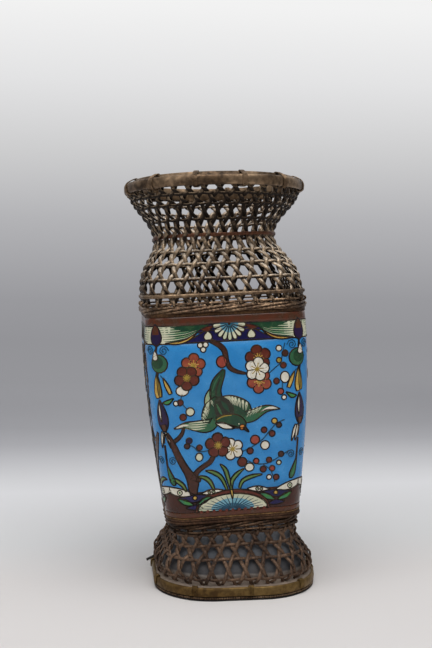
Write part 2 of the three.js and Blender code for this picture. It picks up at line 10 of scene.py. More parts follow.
import bpy
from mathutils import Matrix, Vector


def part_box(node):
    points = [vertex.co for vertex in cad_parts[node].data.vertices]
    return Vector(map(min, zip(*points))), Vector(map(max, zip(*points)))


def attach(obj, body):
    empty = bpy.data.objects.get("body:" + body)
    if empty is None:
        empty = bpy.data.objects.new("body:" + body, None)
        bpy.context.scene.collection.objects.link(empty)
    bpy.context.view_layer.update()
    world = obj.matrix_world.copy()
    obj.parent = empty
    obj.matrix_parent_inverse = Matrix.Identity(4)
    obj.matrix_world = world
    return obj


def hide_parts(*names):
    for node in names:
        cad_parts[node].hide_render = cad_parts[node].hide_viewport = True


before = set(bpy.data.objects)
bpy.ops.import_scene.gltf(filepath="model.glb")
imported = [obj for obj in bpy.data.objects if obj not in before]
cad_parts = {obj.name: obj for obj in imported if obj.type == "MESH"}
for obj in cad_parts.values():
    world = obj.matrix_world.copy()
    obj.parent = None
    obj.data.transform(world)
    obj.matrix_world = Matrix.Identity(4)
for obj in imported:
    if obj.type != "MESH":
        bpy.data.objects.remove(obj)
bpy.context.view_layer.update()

# %% [markdown]
# ## The shape of the walls
# The body, the neck and the foot are rounded squares whose width and corners change with height. The
# same sums as in the CAD source give a place on any of them from a height and a share of the way
# round, so wires, enamel and rims can all be laid on the walls. All sizes here are in millimetres,
# and only the last step turns a place into metres.

# %% Walls
MM = 0.001
BODY_FROM = 56.7
BODY_TO = 208.7
EDGING = 214.2
WAIST = 261.1
RIM_FROM = 297.3
RIM_RADIUS = 68.7
BODY_LOW_HALF = 49.6
BELLY_HALF = 59.3
BELLY_SHARE = 0.84
BODY_NARROWING = 0.7
BODY_ROUNDNESS = 0.34
SHOULDER_HALF = 60.9
SHOULDER_ROUNDNESS = 0.4
WAIST_HALF = 46.9
WAIST_ROUNDNESS = 0.7
WAIST_PINCH = 2.8
FLARE_HALF = 64.025
FOOT_HALF = 61.5
FOOT_LOW_HALF = 55.9
FOOT_ROUNDNESS = 0.72
FOOT_BULGE = 3.1
ANKLE_HALF = 46.2
ANKLE_ROUNDNESS = 0.42
BAND_FROM = 2.9
BAND_TO = 9.7
CLIPS_TO = 10.8
FOOT_HOOPS = (14.7, 28.2, 36.9, 45.5)
NECK_HOOPS = (220.8, 232.3, 243.1, 252.3, 264.1, 275.1, 285.3, 292.3)
PLATE_FROM = 54.9
LEAN = math.radians(2.6)
RIM_LEVEL = math.tan(math.radians(1.2))
WAIST_SHIFT = -2.4
FOOT_MIDDLE = sum(corner.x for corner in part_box("foot_band")) / 2 / MM


def between(low, high, share):
    return low + (high - low) * share


def share_of(value, low, high):
    return min(max((value - low) / (high - low), 0), 1)


def eased(value, low, high):
    share = share_of(value, low, high)
    return share * share * (3 - 2 * share)


def body_wall(z):
    share = share_of(z, BODY_FROM, BODY_TO)
    half = between(BODY_LOW_HALF, BELLY_HALF, math.sin(min(share / BELLY_SHARE, 1) * math.pi / 2))
    half -= BODY_NARROWING * share_of(share, BELLY_SHARE, 1) ** 2
    return half, half * BODY_ROUNDNESS


def neck_wall(z):
    down = share_of(z, EDGING, WAIST) ** 1.8
    up = share_of(z, WAIST, RIM_FROM) ** 1.25
    lower = between(SHOULDER_HALF, WAIST_HALF, (1 - math.cos(down * math.pi)) / 2)
    half = between(lower - WAIST_PINCH, FLARE_HALF, eased(up, 0, 1))
    roundness = between(SHOULDER_ROUNDNESS, WAIST_ROUNDNESS, down)
    return half, half * between(roundness, 1, min(up * 1.3, 1))


def foot_wall(z):
    share = eased(z, 16.7, 38.5)
    bulge = FOOT_BULGE * math.sin(math.pi * share_of(z, 11.1, 36.9) ** 0.6)
    half = between(FOOT_LOW_HALF, ANKLE_HALF, share) + bulge
    return half, half * between(FOOT_ROUNDNESS, ANKLE_ROUNDNESS, share)


def band_wall(z):
    return FOOT_HALF, FOOT_HALF * FOOT_ROUNDNESS


def rim_wall(z):
    return RIM_RADIUS, RIM_RADIUS


print("body is", 2 * body_wall(180)[0], "mm wide at its widest")

# %% [markdown]
# A share of the way round starts at the middle of the front side and runs to the right as it is seen
# from outside. The real foot has sunk a little on one side, so everything above it leans: each place
# is turned by that lean at the very end, which keeps all the pieces together.

# %% Places on the walls
def round_square(half, radius, share):
    flat = half - radius
    quarter = 2 * flat + math.pi / 2 * radius
    turn = (share % 1) * 4
    side = int(turn)
    along = (turn - side) * quarter
    if along <= flat:
        x, y, out_x, out_y = along, -half, 0, -1
    elif along < quarter - flat:
        angle = (along - flat) / radius
        out_x, out_y = math.sin(angle), -math.cos(angle)
        x, y = flat + radius * out_x, -flat + radius * out_y
    else:
        x, y, out_x, out_y = half, along - quarter, 1, 0
    for _ in range(side):
        x, y = -y, x
        out_x, out_y = -out_y, out_x
    return x, y, out_x, out_y


def settled(x, y, z):
    lean = LEAN * eased(z, CLIPS_TO, PLATE_FROM)
    bent = eased(z, WAIST, RIM_FROM)
    level = z - x * RIM_LEVEL * bent
    x += WAIST_SHIFT * eased(z, EDGING, WAIST) * (1 - bent)
    leaning_x = x * math.cos(lean) - level * math.sin(lean)
    leaning_z = level * math.cos(lean) + x * math.sin(lean)
    return (leaning_x + FOOT_MIDDLE) * MM, y * MM, leaning_z * MM


def on_wall(wall, z, share, out=0):
    x, y, out_x, out_y = round_square(*wall(z), share)
    return settled(x + out_x * out, y + out_y * out, z)


def off_wall(wall, z, share, out):
    x, y, out_x, out_y = round_square(*wall(z), share)
    above = round_square(*wall(z + 0.5), share)
    below = round_square(*wall(z - 0.5), share)
    slope = (above[0] - below[0]) * out_x + (above[1] - below[1]) * out_y
    length = out / math.hypot(1, slope)
    return settled(x + out_x * length, y + out_y * length, z - slope * length)


def side_length(wall, z):
    half, radius = wall(z)
    return 2 * (half - radius) + math.pi / 2 * radius


def circle(count):
    return [2 * math.pi * i / count for i in range(count)]


print("a side of the body is", round(side_length(body_wall, 180), 1), "mm long with its corner")

# %% [markdown]
# ## Ways of making a piece
# Two forms come back all over the vase. A wire is a curve with a round bevel, which Blender turns into
# a closed tube. A hoop or wall is a flat grid that is wrapped round, like sheet metal round a former,
# and whose edges are then joined. Each piece ends as a mesh with its place in its own points.

# %% Wires and wrapped sheets
SMOOTH = math.radians(50)
WELD = 0.002 * MM


def choose(pieces):
    """Selects some pieces and nothing else, with the first one active."""
    bpy.ops.object.select_all(action="DESELECT")
    for piece in pieces:
        piece.select_set(True)
    bpy.context.view_layer.objects.active = pieces[0]


def tidy_mesh(piece):
    choose([piece])
    bpy.ops.object.mode_set(mode="EDIT")
    bpy.ops.mesh.select_all(action="SELECT")
    bpy.ops.mesh.remove_doubles(threshold=WELD)
    bpy.ops.mesh.normals_make_consistent(inside=False)
    bpy.ops.object.mode_set(mode="OBJECT")
    bpy.ops.object.shade_smooth_by_angle(angle=SMOOTH)


def wire(name, runs, radius, closed=False, sides=8):
    bpy.ops.object.select_all(action="DESELECT")
    bpy.ops.curve.primitive_bezier_curve_add()
    piece = bpy.context.object
    piece.name = name
    curve = piece.data
    curve.splines.clear()
    curve.bevel_depth = radius * MM
    curve.bevel_resolution = sides // 4 - 1
    curve.use_fill_caps = not closed
    for run in runs:
        spline = curve.splines.new("POLY")
        spline.points.add(len(run) - 1)
        spline.points.foreach_set("co", [value for point in run for value in (*point, 1)])
        spline.use_cyclic_u = closed
    bpy.ops.object.convert(target="MESH")
    tidy_mesh(piece)
    return piece


def flat_grid(columns, rows):
    bpy.ops.object.select_all(action="DESELECT")
    bpy.ops.mesh.primitive_grid_add(x_subdivisions=columns, y_subdivisions=rows, size=1)
    return bpy.context.object


def wrapped(name, columns, rows, place):
    piece = flat_grid(columns, rows)
    piece.name = name
    for point in piece.data.vertices:
        point.co = place(point.co.x + 0.5, point.co.y + 0.5)
    tidy_mesh(piece)
    return piece


def section_round(name, wall, section, lay=on_wall, steps=192):
    """A closed section of (out, z) places, carried once round a wall."""

    def place(across, along):
        out, z = section[round(along * len(section)) % len(section)]
        return lay(wall, z, across, out)

    return wrapped(name, steps, len(section), place)


def copied(mesh, put):
    """A copy of a mesh, with its own points put somewhere else."""
    copy = bpy.data.objects.new("copy", mesh.copy())
    bpy.context.scene.collection.objects.link(copy)
    for point in copy.data.vertices:
        point.co = put(*point.co)
    return copy


def gathered(name, copies):
    """Copies of small meshes become one piece."""
    choose(copies)
    if len(copies) > 1:
        bpy.ops.object.join()
    copies[0].name = name
    return copies[0]


def ride(piece, finish, slot, *replaced):
    piece.data.materials.clear()
    piece.data.materials.append(finish)
    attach(piece, "root")
    if replaced:
        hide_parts(*replaced)
    print(piece.name, len(piece.data.polygons), "faces")
    return piece


# %% [markdown]
# ## Finishes
# A finish is a node tree. Writing it as sums keeps it readable: a small class stands for one socket,
# and adding or multiplying two of them adds the Math node. Every pattern reads the Object coordinates,
# which are metres in the vase's own frame, so grain and tarnish keep their real size on all pieces.

# %% A finish in sums
def paint(red, green, blue):
    """A colour as it is seen, 0 to 255, in the even steps that the renderer counts in."""
    levels = [value / 255 for value in (red, green, blue)]
    return (*[v / 12.92 if v <= 0.04045 else ((v + 0.055) / 1.055) ** 2.4 for v in levels], 1)


class Value:
    """One socket of a finish, which Python sums can use."""

    def __init__(self, finish, socket):
        self.finish = finish
        self.socket = socket

    def maths(self, operation, first, second):
        return self.finish.node("ShaderNodeMath", {0: first, 1: second}, operation=operation)

    def __add__(self, other):
        return self.maths("ADD", self, other)

    def __rsub__(self, other):
        return self.maths("SUBTRACT", other, self)

    def __mul__(self, other):
        return self.maths("MULTIPLY", self, other)

    __radd__ = __add__


class Finish:
    """A material whose colour, gloss and relief are worked out by nodes."""

    def __init__(self, name, **settings):
        self.material = bpy.data.materials.new(name)
        self.material.use_nodes = True
        self.tree = self.material.node_tree
        self.surface = self.tree.nodes["Principled BSDF"]
        self.place = self.node("ShaderNodeTexCoord", output="Object")
        for socket, value in settings.items():
            self.surface.inputs[socket.replace("_", " ")].default_value = value

    def join(self, value, socket):
        if isinstance(value, Value):
            self.tree.links.new(value.socket, socket)
        else:
            socket.default_value = value

    def node(self, kind, values=None, output=0, **settings):
        made = self.tree.nodes.new(kind)
        for name, value in settings.items():
            setattr(made, name, value)
        for socket, value in (values or {}).items():
            self.join(value, made.inputs[socket])
        return Value(self, made.outputs[output])

    def axis(self, vector, letter):
        return self.node("ShaderNodeSeparateXYZ", {0: vector}, letter)

    def ramp(self, value, stops):
        """Colours that run into each other, each with its place from 0 to 1."""
        made = self.node("ShaderNodeValToRGB", {0: value})
        elements = made.socket.node.color_ramp.elements
        for place, _ in stops[1:-1]:
            elements.new(place)
        for element, (place, colour) in zip(elements, stops):
            element.position = place
            element.color = colour
        return made

    def give(self, socket, value):
        self.join(value, self.surface.inputs[socket])

    def noise(self, size, detail, shift=0):
        """Cloudy noise whose lumps are about size millimetres wide."""
        scale = [1 / (size * MM)] * 3
        where = self.node("ShaderNodeMapping", {0: self.place, 1: (shift, shift, 0), 3: scale})
        return self.node("ShaderNodeTexNoise", {"Vector": where, "Scale": 1, "Detail": detail})

    def rising(self, value, low, high):
        limits = {0: value, 1: low, 2: high}
        return self.node("ShaderNodeMapRange", limits, interpolation_type="SMOOTHSTEP")

    def mixed(self, share, first, second):
        return self.node("ShaderNodeMix", {0: share, 6: first, 7: second}, 2, data_type="RGBA")

    def relief(self, height, depth):
        """Relief whose high places stand depth millimetres above its low ones."""
        bump = self.node("ShaderNodeBump", {"Height": height, "Distance": depth * MM})
        self.give("Normal", bump)


# %% [markdown]
# ### Metals
# Old bronze wire is brown in the hollows, where dirt and tarnish stay, and paler where hands and
# cloths have rubbed it. Two sizes of noise do this: a slow one of some centimetres for the parts of
# the vase that aged apart, and a fine one for the mottle on each wire. On the neck the finish also
# asks which way the metal faces: where it faces up it is paler, dust together with a painted
# highlight, and where it faces down it is darkened as painted shade. The same recipe with other
# colours makes the redder foot, the olive brass of the foot band and the copper.

# %% Bronze, brass and copper
DUST_AND_PAINTED_HIGHLIGHT = (214, 198, 178)


def aged_metal(
    name, dark, middle, rubbed, roughness=0.45, metal=0.75, patch=30, grain=1.6, pits=0.05, dust_and_painted_light=0
):
    """Patches and grain are widths of noise in millimetres, and pits is their depth."""
    finish = Finish(name, Metallic=metal)
    patches = finish.rising(finish.noise(patch, 4), 0.36, 0.66)
    mottle = finish.rising(finish.noise(grain, 4, shift=3), 0.35, 0.7)
    ground = finish.mixed(patches, paint(*middle), paint(*rubbed))
    dirt = (1 - mottle) * (0.85 - patches * 0.35)
    if dust_and_painted_light:
        # Which way the metal faces sets painted light: facing up it is paler, dust together with a painted
        # highlight, and facing down it is darkened as painted shade.
        up = finish.axis(finish.node("ShaderNodeNewGeometry", output="Normal"), "Z")
        dusty_and_lit = finish.rising(up, 0.4, 0.8) * dust_and_painted_light
        ground = finish.mixed(dusty_and_lit, ground, paint(*DUST_AND_PAINTED_HIGHLIGHT))
        ground = finish.mixed(finish.rising(up, 0.05, -0.3), ground, paint(*dark))
        dirt = dirt * (1 - dusty_and_lit * 0.7)
        finish.give("Metallic", metal - dusty_and_lit * 0.5)
    finish.give("Base Color", finish.mixed(dirt, ground, paint(*dark)))
    finish.give("Roughness", roughness + dirt * 0.25)
    finish.relief(finish.noise(grain * 0.5, 3), pits)
    return finish.material


neck_bronze = aged_metal(
    "neck bronze", (32, 24, 18), (106, 86, 68), (160, 138, 112), 0.4, patch=45, dust_and_painted_light=0.8
)
rim_bronze = aged_metal("rim bronze", (36, 26, 17), (102, 80, 59), (158, 132, 104), 0.36, grain=4, pits=0.02)
binding_bronze = aged_metal(
    "binding bronze", (60, 46, 34), (112, 90, 68), (140, 116, 90), 0.4, grain=3, pits=0.02
)
strap_bronze = aged_metal("strap bronze", (48, 28, 18), (88, 52, 34), (112, 72, 50), 0.36, pits=0.02)
foot_bronze = aged_metal("foot bronze", (36, 26, 19), (78, 56, 41), (116, 90, 70), 0.52, 0.55, patch=25)
rope_bronze = aged_metal("rope bronze", (34, 24, 16), (102, 78, 58), (156, 128, 100), 0.36, patch=20)
ankle_bronze = aged_metal("ankle bronze", (24, 16, 10), (66, 46, 32), (98, 74, 54), 0.4, patch=20)
band_brass = aged_metal(
    "band brass", (66, 46, 20), (100, 76, 38), (122, 98, 56), patch=24, grain=3, pits=0.03
)
strip_brass = aged_metal("strip brass", (44, 28, 16), (72, 48, 28), (98, 70, 44), patch=18, pits=0.02)
flange_copper = aged_metal("flange copper", (44, 28, 20), (76, 52, 36), (104, 76, 54), patch=18, pits=0.02)
inner_copper = aged_metal("inner copper", (40, 26, 18), (72, 48, 34), (94, 66, 48), roughness=0.55)
gilt_line = aged_metal("gilt line", (70, 48, 28), (124, 92, 56), (156, 120, 76), patch=12, pits=0.02)
cell_bronze = aged_metal("cell bronze", (24, 18, 16), (38, 29, 23), (72, 55, 38), patch=12, grain=1)
black_wire = aged_metal("black wire", (16, 14, 12), (28, 24, 20), (44, 38, 32), roughness=0.6, metal=0.5)
LINER_RISE = 60
# The liner's grey by height is painted light and shade. It is pale at the foot, partly dust and partly
# painted light in the band's shade. It is darkest on the belly, painted shade where the lamp lights it most.
# It is pale again above, painted light in the shade of the weave and rope.
LINER_TONES_WITH_PAINTED_LIGHT = [
    (0.21, paint(150, 134, 120)), (0.265, paint(206, 194, 184)), (0.3, paint(70, 70, 72)),
    (0.42, paint(58, 60, 64)), (0.56, paint(94, 98, 104)), (0.67, paint(136, 141, 148)),
    (0.8, paint(164, 170, 178)),
]


def liner_sheet():
    """Dull sheet metal whose tones by height are painted light and shade: pale below, where dust also lies,
    darkest a third of the way up, and pale again above.
    """
    finish = Finish("liner sheet", Metallic=0.1, Specular_IOR_Level=0.2)
    cloud = finish.rising(finish.noise(14, 4), 0.34, 0.68)
    fleck = finish.rising(finish.noise(2, 4, shift=4), 0.45, 0.75)
    tone_with_painted_light = finish.ramp(finish.axis(finish.place, "Z") * (1000 / LINER_RISE), LINER_TONES_WITH_PAINTED_LIGHT)
    ground = finish.mixed(cloud * 0.3, tone_with_painted_light, paint(92, 84, 80))
    finish.give("Base Color", finish.mixed(fleck * 0.3, ground, paint(62, 54, 50)))
    finish.give("Roughness", 0.7 + fleck * 0.15)
    finish.relief(finish.noise(3, 3, shift=2), 0.08)
    return finish.material


sheet_grey = liner_sheet()

# %% [markdown]
# ### Enamel
# Enamel is glass that was melted on copper and ground smooth, so it is not a metal at all: a deep
# colour under a clear coat, with soft clouds where the powder lay thicker, and a faint waviness left
# by the polishing. One recipe makes all of its colours.

# %% Colours of enamel
def enamel(name, colour, clouds, cloud_size=4):
    finish = Finish(
        name + " enamel", Metallic=0, Coat_Weight=0.1, Coat_Roughness=0.06, Specular_IOR_Level=0.3
    )
    cloud = finish.rising(finish.noise(cloud_size, 4), 0.35, 0.68)
    speck = finish.rising(finish.noise(0.7, 2, shift=7), 0.55, 0.78)
    ground = finish.mixed(cloud, paint(*colour), paint(*clouds))
    darker = paint(*[value * 0.72 for value in colour])
    finish.give("Base Color", finish.mixed(speck * 0.45, ground, darker))
    finish.give("Roughness", 0.2 + cloud * 0.08)
    finish.relief(finish.noise(5, 2, shift=5), 0.04)
    return finish.material


turquoise = enamel("turquoise", (40, 126, 190), (56, 138, 198), 14)
brick = enamel("brick", (86, 42, 24), (72, 45, 28), 5)
earth = enamel("earth", (66, 26, 13), (52, 24, 14), 7)
navy = enamel("navy", (14, 12, 60), (28, 18, 74), 7)
plum = enamel("plum", (38, 18, 60), (22, 16, 54), 7)
cream = enamel("cream", (206, 203, 176), (184, 190, 162), 7)
white = enamel("white", (222, 217, 204), (208, 202, 184))
sky = enamel("sky", (100, 156, 176), (126, 172, 184))
teal = enamel("teal", (48, 108, 132), (32, 90, 118))
forest = enamel("forest", (20, 58, 40), (36, 70, 42), 5)
moss = enamel("moss", (40, 92, 64), (52, 96, 58))
leaf = enamel("leaf", (60, 128, 62), (50, 108, 84))
pale_green = enamel("pale green", (128, 158, 122), (164, 172, 132))
night = enamel("night", (34, 30, 24), (40, 46, 30))
gold = enamel("gold", (184, 144, 60), (200, 168, 86))
sedge = enamel("sedge", (112, 128, 56), (92, 122, 60))
olive = enamel("olive", (140, 116, 40), (168, 142, 56))
orange = enamel("orange", (206, 122, 44), (222, 150, 70), 3)
rust = enamel("rust", (134, 60, 44), (148, 74, 48))
wine = enamel("wine", (84, 30, 18), (96, 40, 24), 5)
scarlet = enamel("scarlet", (154, 68, 52), (134, 52, 42), 3)
bark = enamel("bark", (58, 30, 20), (68, 36, 24))
line_green = enamel("line", (20, 66, 92), (24, 52, 66))

# %% [markdown]
# ## The foot
# The foot stands on a thin ring. On it lies a notched wire and a half-round band, the band is tied
# with turns of fine wire, and a skirt of woven wire rises from it over a plain metal liner. The band
# and the liner are sections carried round the wall, as a rolled strip would be. A pale fillet of
# solder closes the corner between the two. It shares the liner's grey, whose tones by height carry
# painted light and shade.

# %% Base ring, band and liner
def flat_section(inner, outer, low, high, soft=0.25):
    """A flat strip's section with its edges eased."""
    return [
        (inner, low + soft), (inner + soft, low), (outer - soft, low), (outer, low + soft),
        (outer, high - soft), (outer - soft, high), (inner + soft, high), (inner, high - soft),
    ]


def half_round(inner, outer, low, high, steps=9):
    """The section of a split cane: flat behind, round in front."""
    front = []
    for i in range(steps + 1):
        angle = math.pi * i / steps
        rise = (low + high) / 2 - (high - low) / 2 * math.cos(angle)
        front.append((between(inner, outer, 0.3 + 0.7 * math.sin(angle) ** 0.6), rise))
    return [(inner, low + 0.2), *front, (inner, high - 0.2)]


LINER_OUT = -3.7
LINER_THICK = 1
LINER_FROM = 1.3
LINER_BEND = 11.1
LINER_TO = 54.6
FILLET = [(-9.2, 12.6), (-5.5, 10.4), (-2.3, 9), (-2.3, 7.8), (-5.5, 9), (-9.2, 11.2)]
base_ring = section_round("base_ring", band_wall, flat_section(-13.8, -0.6, 0, 1))
ride(base_ring, black_wire, "dark_bronze", "foot_base_ring")
foot_rail = section_round("foot_rail", band_wall, half_round(-2.2, 0, BAND_FROM, BAND_TO))
ride(foot_rail, band_brass, "foot_brass", "foot_band")
heights = [LINER_FROM, LINER_BEND, *[between(LINER_BEND, LINER_TO, i / 14) for i in range(1, 15)]]
liner_section = [(LINER_OUT, z) for z in heights] + [(LINER_OUT - LINER_THICK, z) for z in heights[::-1]]
liner = section_round("liner_sheet", foot_wall, liner_section, off_wall)
ride(liner, sheet_grey, "grey_liner", "foot_liner")
ride(section_round("solder_fillet", band_wall, FILLET), sheet_grey, "grey_liner")

# %% [markdown]
# The notched wire is a row of small beads. One bead is modelled from a cylinder with eased ends and
# copied all the way round, each copy turned to the wall.

# %% Notched wire
NOTCH_Z = 1.95
NOTCH_OUT = -0.95
BEADS = 236
BEAD_PITCH = 1.86
bpy.ops.mesh.primitive_cylinder_add(vertices=6, radius=0.64, depth=1.5, end_fill_type="NGON")
bead = bpy.context.object
bpy.ops.object.mode_set(mode="EDIT")
bpy.ops.mesh.select_all(action="SELECT")
bpy.ops.mesh.bevel(offset=0.22, segments=1)
bpy.ops.object.mode_set(mode="OBJECT")


def bead_at(number):
    def put(x, y, z):
        share = (number + z / BEAD_PITCH) / BEADS
        return on_wall(band_wall, NOTCH_Z + y, share, NOTCH_OUT + x)

    return put


notched = gathered("notched_wire", [copied(bead.data, bead_at(i)) for i in range(BEADS)])
bpy.data.objects.remove(bead)
tidy_mesh(notched)
ride(notched, rope_bronze, "weave_bronze", "foot_notched_wire")

# %% [markdown]
# ## Weaving
# In open cane work three sets of strands cross: level hoops, strands that lean right and strands that
# lean left. Every crossing goes over one and under the other, always in the same turn: right-leaning
# strands pass over the hoops, hoops over the left-leaning strands, and those over the right-leaning
# ones between two hoops. A cosine along each strand gives just that wave, so the holes come out as
# hexagons with small triangles between them, as on the vase.

# %% Flattened wires
STRAND_WIDE = 1.5
FOOT_STRAND_WIDE = 1.38
STRAND_DEEP = 0.8
HOOP_WIDE = 1.15
HOOP_DEEP = 0.7
STRAND_WAVE = 1.0
HOOP_WAVE = 0.6


def flattened(name, tracks, wide, deep, closed=False, sides=8):
    """Oval wires. A track holds each place together with the same place further out."""
    count = len(tracks[0])
    columns = count if closed else count + 1
    flat = flat_grid(columns, sides)

    def tube(track):
        rings = []
        for i, (place, further) in enumerate(track):
            before = track[i - 1 if closed else max(i - 1, 0)][0]
            after = track[(i + 1) % count if closed else min(i + 1, count - 1)][0]
            out = (Vector(further) - Vector(place)).normalized()
            side = (Vector(after) - Vector(before)).cross(out).normalized()
            offs = [out * deep * math.cos(a) + side * wide * math.sin(a) for a in circle(sides)]
            rings.append([Vector(place) + off * MM for off in offs])
        if not closed:
            rings = [[track[0][0]] * sides, *rings, [track[-1][0]] * sides]

        def put(x, y, z):
            ring = rings[round((x + 0.5) * columns) % len(rings)]
            return ring[round((y + 0.5) * sides) % sides]

        return put

    piece = gathered(name, [copied(flat.data, tube(track)) for track in tracks])
    bpy.data.objects.remove(flat)
    tidy_mesh(piece)
    return piece


# %% Strands and hoops
class Weave:
    """Strands and hoops on one wall. A row is counted from hoop to hoop, and the steps are the
    heights of the rows below the first hoop and above the last one."""

    def __init__(self, wall, hoops, count, low_step, high_step):
        self.wall = wall
        self.hoops = hoops
        self.count = count
        self.low_step = low_step
        self.high_step = high_step

    def height(self, row):
        last = len(self.hoops) - 1
        if row < 0:
            return self.hoops[0] + row * self.low_step
        if row >= last:
            return self.hoops[-1] + (row - last) * self.high_step
        low = int(row)
        return between(self.hoops[low], self.hoops[low + 1], row - low)

    def row_at(self, z):
        if z < self.hoops[0]:
            return (z - self.hoops[0]) / self.low_step
        return len(self.hoops) - 1 + (z - self.hoops[-1]) / self.high_step

    def pair(self, z, share, out):
        """A place off the wall, with the same place further out."""
        return off_wall(self.wall, z, share, out), off_wall(self.wall, z, share, out + 1)

    def strand(self, number, slant, from_z, to_z, steps=9):
        low, high = self.row_at(from_z), self.row_at(to_z)
        start = number if slant > 0 else number + 0.5
        parts = round((high - low) * steps)
        run = []
        for i in range(parts + 1):
            row = between(low, high, i / parts)
            share = (start + slant * row / 2) / self.count
            wave = slant * STRAND_WAVE * math.cos(2 * math.pi * row)
            run.append(self.pair(self.height(row), share, wave))
        return run

    def strands(self, name, slant, from_z, to_z, wide):
        tracks = [self.strand(i, slant, from_z, to_z) for i in range(self.count)]
        return flattened(name, tracks, wide, STRAND_DEEP)

    def hoop(self, row, wave=HOOP_WAVE, steps=6, out=0):
        run = []
        for i in range(self.count * steps):
            share = (i / steps + row / 2) / self.count
            lift = out - wave * math.cos(2 * math.pi * i / steps)
            run.append(self.pair(self.hoops[row], share, lift))
        return run


# %% Foot weave
FOOT_STRANDS = 32
FOOT_ENDS_FROM = 6.2
FOOT_RIGHT_TO = 49.8
FOOT_LEFT_TO = 53.4
foot = Weave(foot_wall, FOOT_HOOPS, FOOT_STRANDS, low_step=13.5, high_step=8.6)
right = foot.strands("foot_strands_right", 1, FOOT_ENDS_FROM, FOOT_RIGHT_TO, FOOT_STRAND_WIDE)
ride(right, foot_bronze, "brown_bronze", "foot_wires_outer")
left = foot.strands("foot_strands_left", -1, FOOT_ENDS_FROM, FOOT_LEFT_TO, FOOT_STRAND_WIDE)
ride(left, foot_bronze, "brown_bronze", "foot_wires_inner")
rows = range(len(FOOT_HOOPS))
foot_rows = [foot.hoop(row) for row in rows]
foot_hoops = flattened("foot_hoops", foot_rows, HOOP_WIDE, HOOP_DEEP, closed=True)
ride(foot_hoops, foot_bronze, "brown_bronze", *[f"foot_hoop_{row + 1}" for row in rows])

# %% [markdown]
# The neck has more and finer holes. Two of its hoops are heavier and lie over the strands: one at the
# shoulder, and a flat strap at the waist, which is a strip instead of a wire.

# %% Neck weave
NECK_STRANDS = 36
NECK_LEFT_FROM = 210
NECK_ENDS_TO = 302.3
neck = Weave(neck_wall, NECK_HOOPS, NECK_STRANDS, low_step=11.5, high_step=7)
right = neck.strands("neck_strands_right", 1, EDGING, NECK_ENDS_TO, STRAND_WIDE)
ride(right, neck_bronze, "weave_bronze", "neck_wires_outer")
left = neck.strands("neck_strands_left", -1, NECK_LEFT_FROM, NECK_ENDS_TO, STRAND_WIDE)
ride(left, neck_bronze, "weave_bronze", "neck_wires_inner")
plain = [1, 2, 3, 5, 6, 7]
neck_rows = [neck.hoop(row) for row in plain]
neck_hoops = flattened("neck_hoops", neck_rows, HOOP_WIDE, HOOP_DEEP, closed=True)
ride(neck_hoops, neck_bronze, "weave_bronze", *[f"neck_hoop_{row + 1}" for row in plain])
shoulder_hoop = flattened("shoulder_hoop", [neck.hoop(0, 0.3, out=1.3)], 1.4, 1, closed=True)
ride(shoulder_hoop, binding_bronze, "brown_bronze", "neck_hoop_1")
STRAP = [(1.1, 262.9), (1.8, 262.8), (2.15, 263.3), (2.15, 264.9), (1.8, 265.4), (1.1, 265.3)]


def under_and_over(wall, z, share, out):
    """The strap dives under the strands over one part of the way round."""
    under = eased(share, 0.8, 0.84) * (1 - eased(share, 0.96, 1))
    return off_wall(wall, z, share, out - 2 * under)


strap = section_round("waist_strap", neck_wall, STRAP, under_and_over)
ride(strap, strap_bronze, "brown_bronze", "neck_hoop_5")

# %% [markdown]
# ## Rope edgings
# At the shoulder and at the ankle four wires are laid up into a flat, long-drawn rope, so that each
# shows as a slanting stroke of about an inch before it dips under its neighbour. A single wire edges
# the weave beside each rope, and the end of every right-leaning strand is looped over it.

# %% Ropes
ROPE_WIRE = 0.98
ROPE_SEAT = 1.3
ROPE_TURNS = 5
SHOULDER_ROPE = 210.95
ANKLE_ROPE = 52.4
EDGING_WIRE = 0.8
EDGING_TURNS = 3
SHOULDER_EDGING = 215.2
SHOULDER_SEAT = 1.2
ANKLE_EDGING = 48.2
ANKLE_SEAT = 1.9


def rope(wall, z, seat, turns, rise=1.7, depth=1.0, wires=4, steps=420):
    """Wires that wind round each other while they go once round a wall, seat millimetres out."""
    runs = []
    for number in range(wires):
        run = []
        for i in range(steps):
            share = i / steps
            angle = 2 * math.pi * (turns * share + number / wires)
            x, y, out_x, out_y = round_square(*wall(z), share)
            out = seat + depth * math.cos(angle)
            run.append(settled(x + out_x * out, y + out_y * out, z + rise * math.sin(angle)))
        runs.append(run)
    return runs


def loops(weave, z, out, radius):
    """A small loop round an edging wire where each right-leaning strand ends."""
    around = [(out + radius * math.cos(a), z + radius * math.sin(a)) for a in circle(8)]
    runs = []
    for number in range(weave.count):
        share = (number + weave.row_at(z) / 2) / weave.count
        runs.append([on_wall(weave.wall, height, share, off) for off, height in around])
    return runs


run = rope(neck_wall, SHOULDER_ROPE, ROPE_SEAT, ROPE_TURNS)
shoulder_rope = wire("shoulder_rope", run, ROPE_WIRE, closed=True)
ride(shoulder_rope, rope_bronze, "weave_bronze", "shoulder_twist_a", "shoulder_twist_b")
run = rope(neck_wall, SHOULDER_EDGING, SHOULDER_SEAT, EDGING_TURNS, rise=0.2, depth=0.2, wires=1)
ride(wire("shoulder_edging", run, EDGING_WIRE, closed=True), rope_bronze, "weave_bronze")
run = loops(neck, SHOULDER_EDGING, SHOULDER_SEAT, 1.35)
ride(wire("shoulder_loops", run, 0.75, closed=True), rim_bronze, "weave_bronze")
run = rope(foot_wall, ANKLE_ROPE, ROPE_SEAT, ROPE_TURNS, rise=1.6)
ankle_rope = wire("ankle_rope", run, ROPE_WIRE, closed=True)
ride(ankle_rope, ankle_bronze, "weave_bronze", "ankle_twist_a", "ankle_twist_b")
run = rope(foot_wall, ANKLE_EDGING, ANKLE_SEAT, EDGING_TURNS, rise=0.3, depth=0.2, wires=1)
